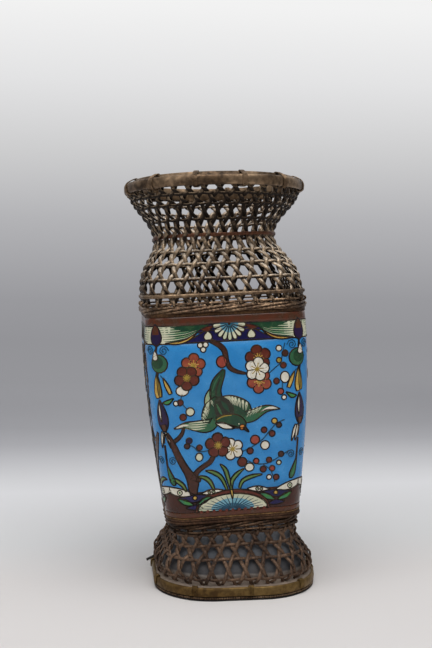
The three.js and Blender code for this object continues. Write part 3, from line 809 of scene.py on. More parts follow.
ride(wire("ankle_edging", run, EDGING_WIRE, closed=True), ankle_bronze, "weave_bronze")
run = loops(foot, ANKLE_EDGING, ANKLE_SEAT, 1.3)
ride(wire("ankle_loops", run, 0.7, closed=True), ankle_bronze, "weave_bronze")

# %% [markdown]
# ## Rim
# The mouth is held by two hoops with the ends of the strands between them: a half-round one outside
# and a thin upright one inside, a little higher. At every third strand a binding of five turns of fine
# wire goes round both.

# %% Rim hoops and bindings
RIM_TO = 304.8
INNER_FACE = -6.75
INNER_BACK = -8.55
INNER_TO = 307.4
TURN_WIRE = 0.42
rim_hoop = section_round("rim_hoop", rim_wall, half_round(-2.6, 0, RIM_FROM, RIM_TO))
ride(rim_hoop, rim_bronze, "weave_bronze", "rim_outer_hoop")
upright = flat_section(INNER_BACK, INNER_FACE, RIM_FROM + 0.7, INNER_TO, 0.4)
ride(section_round("rim_upright", rim_wall, upright), rim_bronze, "weave_bronze", "rim_inner_hoop")


def smooth_run(points, steps, closed=False):
    """Places on a smooth line through some points."""
    count = len(points)
    made = []
    for i in range(count * steps if closed else (count - 1) * steps + 1):
        at, share = divmod(i / steps, 1)
        near = [int(at) + k for k in (-1, 0, 1, 2)]
        near = [k % count if closed else min(max(k, 0), count - 1) for k in near]
        made.append(tuple(curve_through(*values, share) for values in zip(*(points[k] for k in near))))
    return made


def curve_through(before, here, after, beyond, share):
    bend = share * (3 * (here - after) + beyond - before)
    turn = share * (2 * before - 5 * here + 4 * after - beyond + bend)
    return here + 0.5 * share * (after - before + turn)


BINDINGS = 12
BINDING_SHIFT = 1.25
RIM_LENGTH = 431
CLEAR = 0.4
TURN = smooth_run(
    [
        (INNER_BACK - CLEAR, RIM_FROM + 2), (INNER_BACK, RIM_FROM - CLEAR), (-1, RIM_FROM - CLEAR),
        (CLEAR, RIM_FROM + 2.4), (CLEAR, RIM_TO - 2.4), (-1.4, RIM_TO + CLEAR),
        (INNER_FACE, INNER_TO + CLEAR), (INNER_BACK - CLEAR, INNER_TO - 0.6),
    ],
    4,
    closed=True,
)
runs = []
for i in range(BINDINGS):
    middle = (i * 3 + BINDING_SHIFT) / neck.count
    for turn in (-1.5, -0.75, 0, 0.75, 1.5):
        runs.append([on_wall(rim_wall, z, middle + turn / RIM_LENGTH, out) for out, z in TURN])
bindings = wire("rim_bindings", runs, TURN_WIRE, closed=True)
ride(bindings, binding_bronze, "weave_bronze", *[f"rim_binding_{i:02d}" for i in range(1, BINDINGS + 1)])

# %% [markdown]
# The foot band is tied the same way, with four turns at each of ten places. They pass over its top
# edge and stop short of the notched wire. At the left one wire of the weave has sprung loose.

# %% Foot clips and the loose end
CLIPS = 10
CLIP_SHIFT = 0.017
CLIP_WIRE = 0.5
TURN_PITCH = 1.1
BAND_LENGTH = 440
CLIP_LINE = smooth_run(
    [
        (0.5, 4.3), (0.55, 6.3), (0.5, 8.4), (-0.6, BAND_TO + 0.6), (-2.2, BAND_TO + 0.55),
        (-2.85, 8.6), (-2.9, 5),
    ],
    4,
)
runs = []
for i in range(CLIPS):
    for turn in (-1.5, -0.5, 0.5, 1.5):
        share = i / CLIPS + CLIP_SHIFT + turn * TURN_PITCH / BAND_LENGTH
        runs.append([on_wall(band_wall, z, share, out) for out, z in CLIP_LINE])
clips = wire("foot_clips", runs, CLIP_WIRE)
ride(clips, band_brass, "foot_brass", *[f"foot_clip_{i:02d}" for i in range(1, CLIPS + 1)])
low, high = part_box("foot_loose_wire")
inside = Vector((high.x - 0.0006, (low.y + high.y) / 2, high.z - 0.0008))
outside = Vector((low.x + 0.0004, (low.y + high.y) / 2, low.z + 0.0008))
loose = wire("loose_end", [[tuple(inside.lerp(outside, i / 6)) for i in range(7)]], 1)
ride(loose, black_wire, "dark_bronze", "foot_loose_wire")

# %% [markdown]
# ## The body
# The copper body carries a coat in bands: a copper foot strip, a gilt line, a brick-red band, a
# border, the turquoise field, a second border, a second red band and a brass strip. Each is a smooth
# sleeve wrapped round the wall.

# %% Sleeves
GROUND = -0.12
SOFT = 0.15


def sleeve(name, low, high, outer, thickness, steps, finish, slot, node):
    """A sleeve from one height to another, whose outer edges are eased."""
    levels = [between(low, high, i / steps) for i in range(steps + 1)]
    face = [(outer, low + SOFT), *[(outer, z) for z in levels[1:-1]], (outer, high - SOFT)]
    face = [(outer - SOFT, low), *face, (outer - SOFT, high)]
    back = [(outer - thickness, z) for z in levels[::-1]]
    return ride(section_round(name, body_wall, face + back, steps=256), finish, slot, node)


sleeve("bottom_flange", PLATE_FROM, 56.4, 0.6, 49, 1, flange_copper, "copper", "body_bottom_plate")
sleeve("copper_body", BODY_FROM, BODY_TO, -1.2, 1.3, 16, inner_copper, "copper", "body_shell")
sleeve("lower_strip", BODY_FROM, 58.4, 0.35, 1.25, 2, flange_copper, "copper", "body_lower_strip")
sleeve("gilt_edge", 58.7, 59.4, 0.35, 1.25, 2, gilt_line, "gilt", "body_gilt_line")
sleeve("lower_red_band", 59.7, 63.3, 0, 0.9, 3, brick, "red_enamel", "enamel_lower_band")
sleeve("lower_ground", 63.6, 78.6, GROUND, 0.78, 6, earth, "border_enamel", "enamel_lower_border")
sleeve("turquoise_ground", 78.9, 186.9, GROUND, 0.78, 18, turquoise, "turquoise_enamel", "enamel_field")
sleeve("upper_ground", 187.2, 199.9, GROUND, 0.78, 5, turquoise, "border_enamel", "enamel_upper_border")
sleeve("upper_red_band", 200.2, 205.9, 0, 0.9, 3, brick, "red_enamel", "enamel_upper_band")
sleeve("upper_strip", 206.2, BODY_TO, 0.35, 1.25, 3, strip_brass, "strip_brass", "body_upper_strip")

# %% [markdown]
# ## Drawing with cells
# In cloisonné the drawing is made of cells: a thin wire is bent to each outline and soldered on, and
# the cell is filled with one colour. Here a cell is a thin plate cut to its outline and bent on to the
# body, with a thin wire along its edge. Three plates are modelled once and copied for all the cells:
# a disc for berries, a finer one for blossoms, and a ribbon for leaves, feathers and branches.

# %% The three plates
def round_plate(corners, *insets):
    """A flat disc in rings, so that it can be bent."""
    bpy.ops.mesh.primitive_circle_add(vertices=corners, radius=1, fill_type="NGON")
    bpy.ops.object.mode_set(mode="EDIT")
    bpy.ops.mesh.select_all(action="SELECT")
    for inset in insets:
        bpy.ops.mesh.inset(thickness=inset)
    bpy.ops.mesh.poke()
    bpy.ops.object.mode_set(mode="OBJECT")
    return bpy.context.object


disc = round_plate(20, 0.45)
ribbon = flat_grid(14, 3)
blossom = round_plate(40, 0.3, 0.35)
print("plates:", len(disc.data.polygons), len(ribbon.data.polygons), len(blossom.data.polygons), "faces")

# %% [markdown]
# A drawing is laid out in millimetres: how far right of the middle of a side, and how high. Side 0 is
# the front, and half numbers are the corners between sides. A cell stands about a tenth of a
# millimetre out, and its wire as much again. One that lies over others is lifted by a few hundredths
# for each layer, so that it covers them.

# %% Laying cells
BED = 0.08
PENDANT_BED = 0.14
LIFT = 0.04
SINK = 0.6
CELL_WIRE = 0.75
WIRE_SIDES = 12
PLATE = 0.22
PETAL_SET = 0.57
PETAL_ROUND = 0.43


def on_body(side, right, z, out):
    share = side / 4 + right / (4 * side_length(body_wall, z))
    return on_wall(body_wall, z, share, out)


def ray(right, z, angle, *reaches):
    """Places at some distances from a middle, all in one direction."""
    return [(right + reach * math.cos(angle), z + reach * math.sin(angle)) for reach in reaches]


class Drawing:
    """Cells on one side of the body. A flip of -1 draws the same picture mirrored."""

    def __init__(self, side, flip=1, shift=0, bed=BED):
        self.side = side
        self.flip = flip
        self.shift = shift
        self.bed = bed

    def put(self, right, z, layer, sink=0):
        out = self.bed + LIFT * layer - sink
        return on_body(self.side, self.shift + right * self.flip, z, out)

    def edge(self, places, layer, closed=True):
        edges.append((closed, [self.put(right, z, layer, SINK) for right, z in places]))

    def cell(self, mesh, place, colour, layer):
        copy = copied(mesh, lambda x, y, z: self.put(*place(x, y), layer))
        copy.data.materials.append(colour)
        cells.append(copy)

    def spot(self, right, z, size, colour, layer=1, tall=1, edged=True):
        """A round cell, such as a berry."""

        def place(x, y):
            return right + x * size * self.flip, z + y * size * tall

        self.cell(disc.data, place, colour, layer)
        if edged:
            ring = [(right + size * math.cos(a), z + size * tall * math.sin(a)) for a in circle(14)]
            self.edge(ring, layer)

    def bloom(self, right, z, size, colour, layer=1, turn=0.3, petals=5):
        """A flower of some petals, as one scalloped cell."""

        def reach(angle):
            """How far a petal reaches: it is a circle set off from the middle."""
            step = math.pi / petals
            off = (angle - turn + step) % (2 * step) - step
            middle = PETAL_SET * math.cos(off)
            return size * (middle + math.sqrt(PETAL_ROUND**2 - (PETAL_SET * math.sin(off)) ** 2))

        def place(x, y):
            angle = math.atan2(y, x * self.flip) + turn
            far = math.hypot(x, y) * reach(angle)
            return right + far * math.cos(angle), z + far * math.sin(angle)

        self.cell(blossom.data, place, colour, layer)
        around = [turn + angle for angle in circle(40)]
        ring = [(right + reach(a) * math.cos(a), z + reach(a) * math.sin(a)) for a in around]
        self.edge(ring, layer)
        for petal in range(petals):
            angle = turn + math.pi * (2 * petal + 1) / petals
            self.edge(ray(right, z, angle, size * 0.3, reach(angle)), layer, closed=False)

    def strip(self, points, widths, colour, layer=1, edged=True):
        """A cell along a line, such as a leaf, a feather or a branch."""
        line = smooth_run([(*point, width) for point, width in zip(points, widths)], 4)

        def at(share, across):
            place = share * (len(line) - 1)
            low = min(int(place), len(line) - 2)
            here, after = line[low], line[low + 1]
            right, z, width = (between(a, b, place - low) for a, b in zip(here, after))
            before, beyond = line[max(low - 1, 0)], line[min(low + 2, len(line) - 1)]
            step_right, step_z = beyond[0] - before[0], beyond[1] - before[1]
            reach = max(width, 0.06) * across / math.hypot(step_right, step_z)
            return right - step_z * reach, z + step_right * reach

        self.cell(ribbon.data, lambda x, y: at(x + 0.5, y * self.flip), colour, layer)
        if edged:
            forth = [at(i / 14, 0.5) for i in range(15)]
            back = [at(i / 14, -0.5) for i in range(14, -1, -1)]
            self.edge(forth + back, layer)

    def stroke(self, points, widths, colour, layer=1):
        """A ribbon of colour inside a cell, without a wire of its own."""
        self.strip(points, widths, colour, layer, edged=False)


cells = []
edges = []


def finish_cells(name):
    """The cells laid so far become one piece of plates and one or two of wires."""
    plates = gathered(name, cells)
    bpy.ops.object.modifier_add(type="SOLIDIFY")
    plates.modifiers[-1].thickness = PLATE * MM
    plates.modifiers[-1].offset = -1
    bpy.ops.object.modifier_apply(modifier=plates.modifiers[-1].name)
    bpy.ops.object.shade_smooth_by_angle(angle=math.radians(35))
    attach(plates, "root")
    print(name, len(plates.data.polygons), "faces,", len(edges), "edges")
    for kind, closed in (("_wires", True), ("_lines", False)):
        runs = [run for round_it, run in edges if round_it == closed]
        if runs:
            wires = wire(name + kind, runs, CELL_WIRE, closed, WIRE_SIDES)
            ride(wires, cell_bronze, "dark_bronze")
    cells.clear()
    edges.clear()


# %% [markdown]
# ### The upper border
# Two lobes streaked in cream and green hang from the red band on each side, with half a daisy between
# them on navy, cream hearts, and a gold crescent under each lobe.

# %% Upper border
DAISY = 20.75


def handed(way, *points):
    """Points right of the middle, or mirrored to its left."""
    return [(way * right, z) for right, z in points]


def lobe(drawing, way):
    outline = handed(
        way, (15, 199.6), (20, 198.6), (25, 197), (31, 195),
        (38, 193.8), (43.5, 193.6), (49, 193.6), (54.5, 193.6),
    )
    drawing.strip(outline, [0.3, 2.4, 5.8, 9.8, 12, 12.4, 12.5, 12.5], cream, 2)
    for i in range(7):
        low = i / 6
        streak = handed(
            way, (16 + 4 * low, 199.4 - 1.6 * low), (23 + 1.5 * low, 199.1 - 4.6 * low),
            (31, 198.9 - 8.2 * low), (39, 198.9 - 9.6 * low), (52 - 5 * low, 198.8 - 9.6 * low),
        )
        drawing.stroke(streak, [0.6, 1.3, 1.75, 0.9, 0.15], (forest, moss)[i % 2], 3)
        between_streaks = [(right, z - 0.75) for right, z in streak[1:-1]]
        drawing.stroke(between_streaks, [0.1, 0.3, 0.45], (pale_green, cream)[i % 2], 4)
    top = handed(way, (15, 199.4), (21, 198.4), (27, 197.4), (34, 197.8), (42, 199.2))
    drawing.stroke(top, [0.3, 2.2, 3.4, 3, 0.3], forest, 5)
    crescent = handed(way, (24, 193.8), (30, 189.9), (37, 187.9), (46, 187.8))
    drawing.strip(crescent, [0.2, 1.7, 1.7, 0.2], gold, 5)
    drawing.stroke(handed(way, (26, 192.9), (31, 189.9), (37, 188.3)), [0.2, 0.6, 0.2], wine, 6)
    drawing.strip(handed(way, (11.6, 198.6), (16, 196.6), (20, 196.4)), [0.6, 3.4, 0.3], wine, 3)
    heart = handed(way, (15.6, 195), (15.5, 193), (15.6, 190.6), (15.6, 189))
    drawing.strip(heart, [0.3, 4.2, 5.8, 3.4], cream, 4)


def upper_border(drawing):
    navy_low = [(-32, 187.6), (-22, 190), (-12, 192.6), (0, 193.4), (12, 192.6), (22, 190), (32, 187.6)]
    drawing.strip(navy_low, [0.3, 5, 10, 11.5, 10, 5, 0.3], navy)
    navy_top = [(-24, 195.8), (-17, 197.4), (0, 198.3), (17, 197.4), (24, 195.8)]
    drawing.strip(navy_top, [3, 5, 3.2, 5, 3], navy)
    for way in (-1, 1):
        lobe(drawing, way)
    for i in range(9):
        petal = ray(0, 199.9, math.radians(-7 - i * DAISY), 2.2, 6.5, 10.2, 11.9)
        drawing.strip(petal, [0.6, 2, 3, 1.5], cream, 3)
        drawing.stroke(petal[:2], [0.5, 1.5], sky, 4)
    for i in range(10):
        gap = ray(0, 199.7, math.radians(-7 - (i - 0.5) * DAISY), 1, 5, 8.4)
        drawing.stroke(gap, [0.8, 1, 0.2], teal, 5)


for side in range(4):
    upper_border(Drawing(side))
finish_cells("upper_border")

# %% [markdown]
# ### The lower border
# White lobes with rings, navy lozenges with a gold dot and green wedges alternate above a brown
# ground, round a half fan of cream and blue under a red arch.

# %% Lower border
FAN = (-2.3, 63.9)


def half_circle(count):
    return [math.pi * i / (count - 1) for i in range(count)]


def half_fan(drawing, across, up, colour, layer):
    """A half ellipse on the lower edge of the border."""
    right, low = FAN
    span = [-0.985, -0.93, -0.8, -0.5, 0, 0.5, 0.8, 0.93, 0.985]
    tall = [up * math.sqrt(1 - s * s) for s in span]
    centres = [(right + s * across, low + t / 2) for s, t in zip(span, tall)]
    drawing.strip(centres, tall, colour, layer, edged=layer < 4)


def lower_border(drawing):
    for way in (-1, 1):
        drawing.strip(handed(way, (9, 79), (16.6, 78.4), (25, 77.5)), [0.3, 3.9, 0.3], white, 2)
        outer = handed(way, (29.6, 77.2), (36, 78.4), (42, 79.6), (49, 81.2))
        drawing.strip(outer, [0.3, 4.4, 5.6, 4], white, 2)
        for right, z, size in ((16, 78.5, 1.1), (19, 78.2, 1), (40.4, 79.2, 1.8)):
            drawing.spot(way * right, z, size, cream, 3)
            drawing.spot(way * right, z, size * 0.4, moss, 4, edged=False)
        lozenge = handed(way, (20.5, 76.3), (26.4, 74.8), (32.4, 74.2), (41, 75))
        drawing.strip(lozenge, [0.3, 4.6, 5.2, 0.3], navy)
        drawing.spot(way * 29.6, 74.8, 1.5, gold, 3)
        drawing.strip(handed(way, (17.6, 75), (23, 72.4), (29, 69.4)), [0.3, 4, 0.3], leaf, 2)
        drawing.strip(handed(way, (42, 74.2), (36.6, 71.8), (30.6, 69.2)), [0.3, 4, 0.3], leaf, 2)
        drawing.strip(handed(way, (24, 66.6), (29.8, 67.6), (36, 67.4)), [0.3, 3.8, 0.3], navy)
    right, low = FAN
    arch = [(right + 26.6 * math.cos(a), low + 13.7 * math.sin(a)) for a in half_circle(9)]
    drawing.strip(arch, [1.4, 2.2, 2.8, 3, 3, 3, 2.8, 2.2, 1.4], wine, 2)
    half_fan(drawing, 25.2, 12.6, cream, 3)
    half_fan(drawing, 15.4, 9, sky, 4)
    half_fan(drawing, 8.2, 5.4, teal, 5)
    for a in half_circle(17)[1:-1]:
        line = [(right + 24 * r * math.cos(a), low + 12 * r * math.sin(a)) for r in (0.12, 0.5, 0.94)]
        drawing.stroke(line, [0.7, 0.75, 0.2], line_green, 6)
    for i in range(11):
        drawing.spot(right - 23 + i * 4.6, low - 0.1, 1.2, wine, 7, edged=False)
    drawing.strip([(right - 0.6, 79), (right - 0.2, 76), (right, 72.2)], [1.9, 1.6, 0.4], gold, 6)


for side in range(4):
    lower_border(Drawing(side))
finish_cells("lower_border")

# %% [markdown]
# ### Corner pendants
# A string of drops, buds and tassels hangs down each corner. Most of them are ribbons that swell and
# close again. Each string leans a little towards one of its sides, and lies over what it crosses.

# %% Pendants
def spiral(drawing, right, z, size, way):
    line = []
    for i in range(24):
        angle = 0.5 * i
        far = size * (1 - i / 27)
        line.append((right + way * far * math.cos(angle), z + far * math.sin(angle)))
    drawing.stroke(line, [0.62] * len(line), line_green, 2)


def pendant(drawing, way):
    strip, stroke = drawing.strip, drawing.stroke
    top_bud = [(0, 201.4), (0.2, 197.6), (0.4, 192.6), (0.5, 188.6), (0.6, 186.2)]
    strip(top_bud, [0.6, 6, 9.2, 7.6, 1.6], plum, 5)
    stroke([(0, 200.6), (0.2, 197.6), (0.3, 194)], [0.6, 5, 5.6], brick, 6)
    strip([(0.5, 186), (-0.4, 181.5)], [0.8, 0.7], line_green)
    drawing.spot(way * 1.8, 173.4, 6.8, moss, 1, 0.94)
    drawing.spot(way * 0.6, 174.2, 4.8, forest, 2, 0.94, edged=False)
    strip(handed(-way, (0.9, 183), (1, 180.2), (1, 177.4), (1, 175.8)), [0.3, 3.2, 4.8, 2.6], white, 3)
    for side in (-1, 1):
        spiral(drawing, side * 6.2, 182.6, 3.9, side)
        spiral(drawing, side * 5.2, 102.6, 3.4, side)
    strip([(0, 167.2), (-0.4, 163)], [1.4, 1], plum)
    strip([(-0.6, 166.4), (-1.2, 160), (-1.6, 153), (-1.2, 148.8)], [0.5, 3.6, 4.6, 2.6], gold, 2)
    strip([(-0.2, 165), (0.4, 159), (1, 153), (1.2, 149.6)], [0.4, 2.4, 3, 1.8], olive, 3)
    stroke(handed(way, (2.6, 165), (5, 162)), [0.6, 0.5], line_green)
    strip(handed(way, (4.6, 163), (7, 157.4), (9.2, 151.8)), [0.4, 2.8, 2.2], gold, 2)
    strip(handed(way, (2.8, 145.4), (6.4, 145.6), (10.8, 148.4)), [0.3, 2.8, 0.3], leaf)
    drawing.spot(way * 12.4, 144.8, 1.6, white, 2)
    low_bud = [(0, 147.2), (0.4, 141.4), (1, 134.6), (1.4, 129), (1.6, 124.8)]
    strip(low_bud, [0.5, 5.8, 8.6, 7.4, 2.6], plum, 2)
    strip([(-0.4, 145.6), (-0.6, 139), (0, 131.6)], [0.4, 2.1, 0.5], white, 3)
    strip([(1.2, 129.4), (1.6, 126.6), (1.7, 124.4)], [4.4, 3.8, 2], brick, 3)
    for right, end in ((-0.6, -2.2), (way * 2.4, way * 5.2)):
        strip([(right, 124), (between(right, end, 0.5), 119), (end, 112.6)], [1.2, 2.2, 0.4], white)
    strip([(0.4, 123), (0, 116)], [1.4, 0.4], white)
    strip([(0.2, 114), (0, 98.6)], [0.6, 0.6], line_green)
    strip([(0, 99.2), (way * 1.4, 93), (way * 3, 87.6), (way * 3.9, 84.8)], [0.5, 3, 4.4, 1.6], moss, 2)
    stroke(handed(way, (0.6, 96.6), (1.8, 91), (3, 87)), [0.3, 1, 1.2], leaf, 3)


SHIFTS = {0.5: (-4, -1), 1.5: (-1, -1), 2.5: (1, 1), 3.5: (1, 1)}
for corner, (shift, way) in SHIFTS.items():
    pendant(Drawing(corner, 1, shift, PENDANT_BED), way)
finish_cells("corner_pendants")

# %% [markdown]
# ### Trees, berries and grass
# A plum tree leans in from the left of each side, sprays of berries come from the right, and grass
# stands at the foot. Stems are thin ribbons of dark enamel.

# %% Tree, sprays and grass
STEMS = (
    [(-35.8, 151), (-37, 146), (-33.4, 141), (-31, 138.4), (-35.8, 135)],
    [(-34, 115), (-29, 112.4), (-25.4, 108.8), (-17, 109.4)],
    [(26.5, 162), (31, 166), (35.8, 170), (37.6, 177), (39.4, 184)],
    [(36.6, 156), (36.4, 151.6), (35.4, 149)],
    [(4, 106.4), (11.4, 109), (20.4, 114.4), (26.4, 121), (31.4, 126), (37.4, 128.4)],
    [(4, 100), (9, 100), (16, 97), (24.4, 97), (33, 101.4), (40, 105.4)],
    [(21, 96), (25.6, 92.4), (28, 87), (29, 82.6)],
)
BERRIES = (
    (-37.4, 145.2, 2, wine), (-30.6, 138.2, 2.9, cream), (-35.8, 134.6, 2.2, wine),
    (-32.2, 117.2, 2, plum), (-33.8, 113.4, 1.8, bark), (-25, 111.8, 1.9, wine),
    (-25.4, 104.8, 2.5, cream, 1.15), (-21.4, 185.4, 1.8, white), (-17.6, 185.6, 1.8, white),
    (-19.4, 182.2, 1.8, white), (35, 180.4, 2, white), (39.4, 176.6, 2.1, bark),
    (34.8, 171.8, 1.8, olive), (37.8, 168, 2, wine), (38.6, 159.4, 3.2, white, 1.25),
    (32.4, 156.8, 2, wine), (35.2, 149.2, 2.1, scarlet), (30, 128, 1.9, gold),
    (33.2, 124.8, 1.8, bark), (22.2, 121.8, 2, wine), (28, 118.8, 2.1, wine),
    (15.4, 115, 3.2, scarlet), (22.6, 110.6, 3.1, white), (11.6, 107, 2.2, wine),
    (5.6, 99.2, 3.3, wine), (10.8, 95, 3.2, white, 0.9), (15.8, 99.2, 1.9, scarlet),
    (25.2, 99.4, 1.9, wine), (34.2, 103.2, 1.9, bark), (32.4, 97, 1.6, cream),
    (20.8, 92.8, 2.1, wine), (27.4, 93, 1.9, scarlet), (25, 86.6, 1.7, white),
    (30.2, 86.2, 2, wine),
)
BLADES = (
    [(-3, 79), (-5, 87.7), (-7, 94.5), (-10.4, 98.5)],
    [(-6, 79.4), (-10, 88.7), (-16, 93), (-21, 94.4)],
    [(-15.4, 79.6), (-18, 85.7), (-21.8, 89.2), (-27, 90.6)],
    [(-3, 79), (-2.2, 85.7), (1.7, 90.6), (6.6, 94)],
    [(3.2, 80), (5.6, 85.2), (12.4, 88), (19.8, 89)],
    [(-35.5, 80), (-38.4, 85.2), (-44, 88.8), (-48, 88.6)],
)


def tree(drawing):
    trunk = [
        (-30.4, 77.4), (-30.6, 82), (-30.6, 87.6), (-34, 94),
        (-37.4, 100), (-41.2, 108), (-44.6, 116), (-48, 123),
    ]
    drawing.strip(trunk, [4.6, 6.4, 7.8, 5, 4.4, 4, 3.6, 1.6], bark, 3)
    drawing.strip([(-43, 117), (-39.4, 119.8), (-36.6, 123.6), (-35.6, 128)], [2.2, 2, 1.7, 1], bark, 2)
    right_bough = [(-30.4, 88), (-27.4, 94), (-22, 98), (-17.4, 101), (-14, 107)]
    drawing.strip(right_bough, [4, 3, 2.8, 2.8, 2.4], bark, 2)
    drawing.spot(-26.6, 88, 1.6, bark, 2)
    top_bough = [(-14, 188.4), (-8.6, 185.4), (-4.4, 181), (-3.2, 174), (-1, 168.4), (4, 165.2), (10, 163.6)]
    drawing.strip(top_bough, [2.4, 3, 3.2, 2.8, 2.6, 2, 1.2], bark, 2)
    drawing.spot(-6.6, 172.8, 3.7, scarlet, 3, 1.1)


def sprays_and_grass(drawing):
    for points in STEMS:
        drawing.stroke(points, [0.75] * len(points), line_green)
    for right, z, size, colour, *tall in BERRIES:
        drawing.spot(right, z, size, colour, 2, *tall)
    for blade in BLADES:
        drawing.strip(blade, [1.2, 2.5, 2.5, 0.3], moss, 2)
        drawing.stroke(blade, [0.4, 1, 0.9, 0.2], sedge, 3)


PICTURES = (Drawing(0), Drawing(1, -1), Drawing(2), Drawing(3, -1))
for drawing in PICTURES:
    tree(drawing)
    sprays_and_grass(drawing)
finish_cells("trees_and_berries")

# %% [markdown]
# ### Blossoms
# Each plum blossom is one scalloped cell with five wires between its petals. Its stamens are thin
# ribbons, gold on the red flowers and olive on the others, and short on the darkest ones.

# %% Blossoms
def plum_blossom(drawing, right, z, size, colour, layer, turn=0.3, far=0.5, eye=gold):
    drawing.bloom(right, z, size, colour, layer, turn)
    for i in range(10):
        angle = turn + 2 * math.pi * i / 10
        reach = size * far * (1 if i % 2 else 0.82)
        line = ray(right, z, angle, size * 0.14, reach)
        drawing.stroke(line, [0.7, 0.5], eye, layer + 1)
        drawing.spot(*line[1], 0.5, eye, layer + 1, edged=False)
    drawing.spot(right, z, size * 0.16, olive, layer + 2, edged=False)


def blossoms(drawing):
    plum_blossom(drawing, -27, 171.2, 8.6, rust, 2, turn=0.2)
    plum_blossom(drawing, -32, 162.6, 8.8, wine, 5, turn=0.9, far=0.3, eye=olive)
    drawing.spot(-35.6, 153.6, 4.4, white, 1, 0.8)
    plum_blossom(drawing, 19.8, 174.2, 9.3, wine, 2, turn=0.5, far=0.4)
    plum_blossom(drawing, 20, 157.6, 8.9, rust, 2, turn=0.8)
    plum_blossom(drawing, 18.6, 166.2, 8.7, white, 5, turn=0.1, far=0.6, eye=olive)
    plum_blossom(drawing, -1.2, 109.2, 8, white, 3, turn=0.6, far=0.6, eye=olive)
    plum_blossom(drawing, -11.6, 112.6, 9, wine, 6, turn=0.35, far=0.32, eye=olive)


def middle_blossoms(drawing):
    """Where the bird is on the other sides."""
    drawing.strip([(-35.6, 128), (-24, 130), (-12, 137), (2, 140), (16, 137)], [1, 2.4, 2.6, 2.4, 1], bark)
    plum_blossom(drawing, -18, 136, 8, rust, 2, turn=0.2)
    plum_blossom(drawing, -7, 142, 8.6, white, 5, turn=0.7, far=0.6)
    plum_blossom(drawing, 9, 136, 8.8, wine, 2, turn=0.4, far=0.32)
    drawing.spot(20, 139.6, 3.4, scarlet, 2)
    drawing.spot(4, 148.6, 3, white, 2)


for drawing in PICTURES:
    blossoms(drawing)
for drawing in PICTURES[1::2]:
    middle_blossoms(drawing)
finish_cells("plum_blossoms")

# %% [markdown]
# ### The bird
# A dark green bird dives to the right with its wings spread and its tail up. The body, head, wings
# and tail are ribbons, and cream feathers are laid over them one by one.

# %% Bird
def along_line(points, share):
    place = share * (len(points) - 1)
    low = min(int(place), len(points) - 2)
    return tuple(between(a, b, place - low) for a, b in zip(points[low], points[low + 1]))


def feathers(drawing, starts, ends, count, width):
    for i in range(count):
        first, last = along_line(starts, i / (count - 1)), along_line(ends, i / (count - 1))
        middle = [between(a, b, 0.35) for a, b in zip(first, last)]
        drawing.stroke([first, middle, last], [width * 0.7, width, 0.25], cream, 4)
        drawing.stroke([middle, last], [width * 0.3, 0.2], forest, 5)


def tail_and_far_wing(drawing):
    strip, stroke = drawing.strip, drawing.stroke
    tail = [(-5.4, 167), (-7.2, 163.6), (-10, 159), (-12, 153), (-11.6, 147), (-8.6, 141)]
    strip(tail, [1.8, 4.6, 7, 7.8, 8.4, 7], forest, 2)
    stroke([(-6.6, 164), (-9.6, 158), (-11.6, 152), (-11, 147)], [0.3, 1.2, 1.6, 0.6], night, 3)
    stroke([(-8.6, 163), (-12, 158), (-14.2, 152)], [0.3, 1, 0.4], moss, 3)
    edge = [(-15.4, 154), (-17.2, 149), (-17.9, 143.4), (-17.4, 139.6)]
    strip(edge, [0.5, 3.8, 4.2, 1.4], pale_green, 2)
    stroke([(-17, 146), (-18, 142.6), (-18, 139.8)], [0.8, 2.4, 1], cream, 3)
    strip([(-11, 147), (-15.4, 141), (-18.4, 134.6), (-19.4, 129.6)], [4, 9, 8, 4.6], forest, 3)
    starts = [(-18.8, 142.7), (-20.2, 139.6), (-22.6, 134)]
    feathers(drawing, starts, [(-16.6, 138.6), (-17.6, 135), (-19.8, 130.4)], 6, 1.5)
    feathers(drawing, [(-15.6, 145.8), (-12.4, 144)], [(-13.6, 141), (-10.8, 140)], 2, 1.4)


def wings(drawing):
    strip, stroke = drawing.strip, drawing.stroke
    back = [(-8, 145.6), (-2, 144.6), (4.4, 142), (9, 138.6), (11.4, 134.4)]
    strip(back, [4, 7.4, 8.6, 8.4, 4], forest, 3)
    starts = [(-6, 147.7), (-3.2, 148.4), (2.6, 146.8), (10.2, 143.2)]
    feathers(drawing, starts, [(-2.6, 141), (0, 140.4), (4.4, 138.6), (9.4, 136.4)], 9, 1.7)
    right_wing = [(5, 131), (9.8, 132), (15, 133.2), (21.4, 136.4), (27, 137.6), (34, 136.6)]
    strip(right_wing, [4, 8.2, 7.8, 5.6, 3.6, 0.3], moss, 3)
    feathers(drawing, [(12.6, 137.2), (21, 139.6)], [(9.6, 131.4), (16, 134)], 4, 1.4)
    stroke([(20, 135.4), (26.6, 137.6), (32.8, 137.2)], [0.4, 1.9, 0.5], white, 4)
    stroke([(17, 134.6), (24, 136.4), (30, 136.4)], [0.3, 0.9, 0.2], bark, 4)
    left_wing = [(-12.4, 132), (-15.6, 128.6), (-21, 127.2), (-27.6, 127.8), (-34.6, 128.6), (-42.4, 126.6)]
    strip(left_wing, [4, 8.4, 9, 6.4, 3.8, 0.3], moss, 3)
    for i in range(4):
        drop = i * 1.7
        feather = [(-17.4 - i, 130.8 - drop), (-24.4 - i, 130.4 - drop), (-32 - i, 130 - drop * 0.7)]
        stroke(feather, [0.3, 1, 0.3], cream, 4)
    stroke([(-31.6, 128.8), (-36.6, 128.4), (-41, 127)], [0.4, 1.7, 0.4], white, 4)


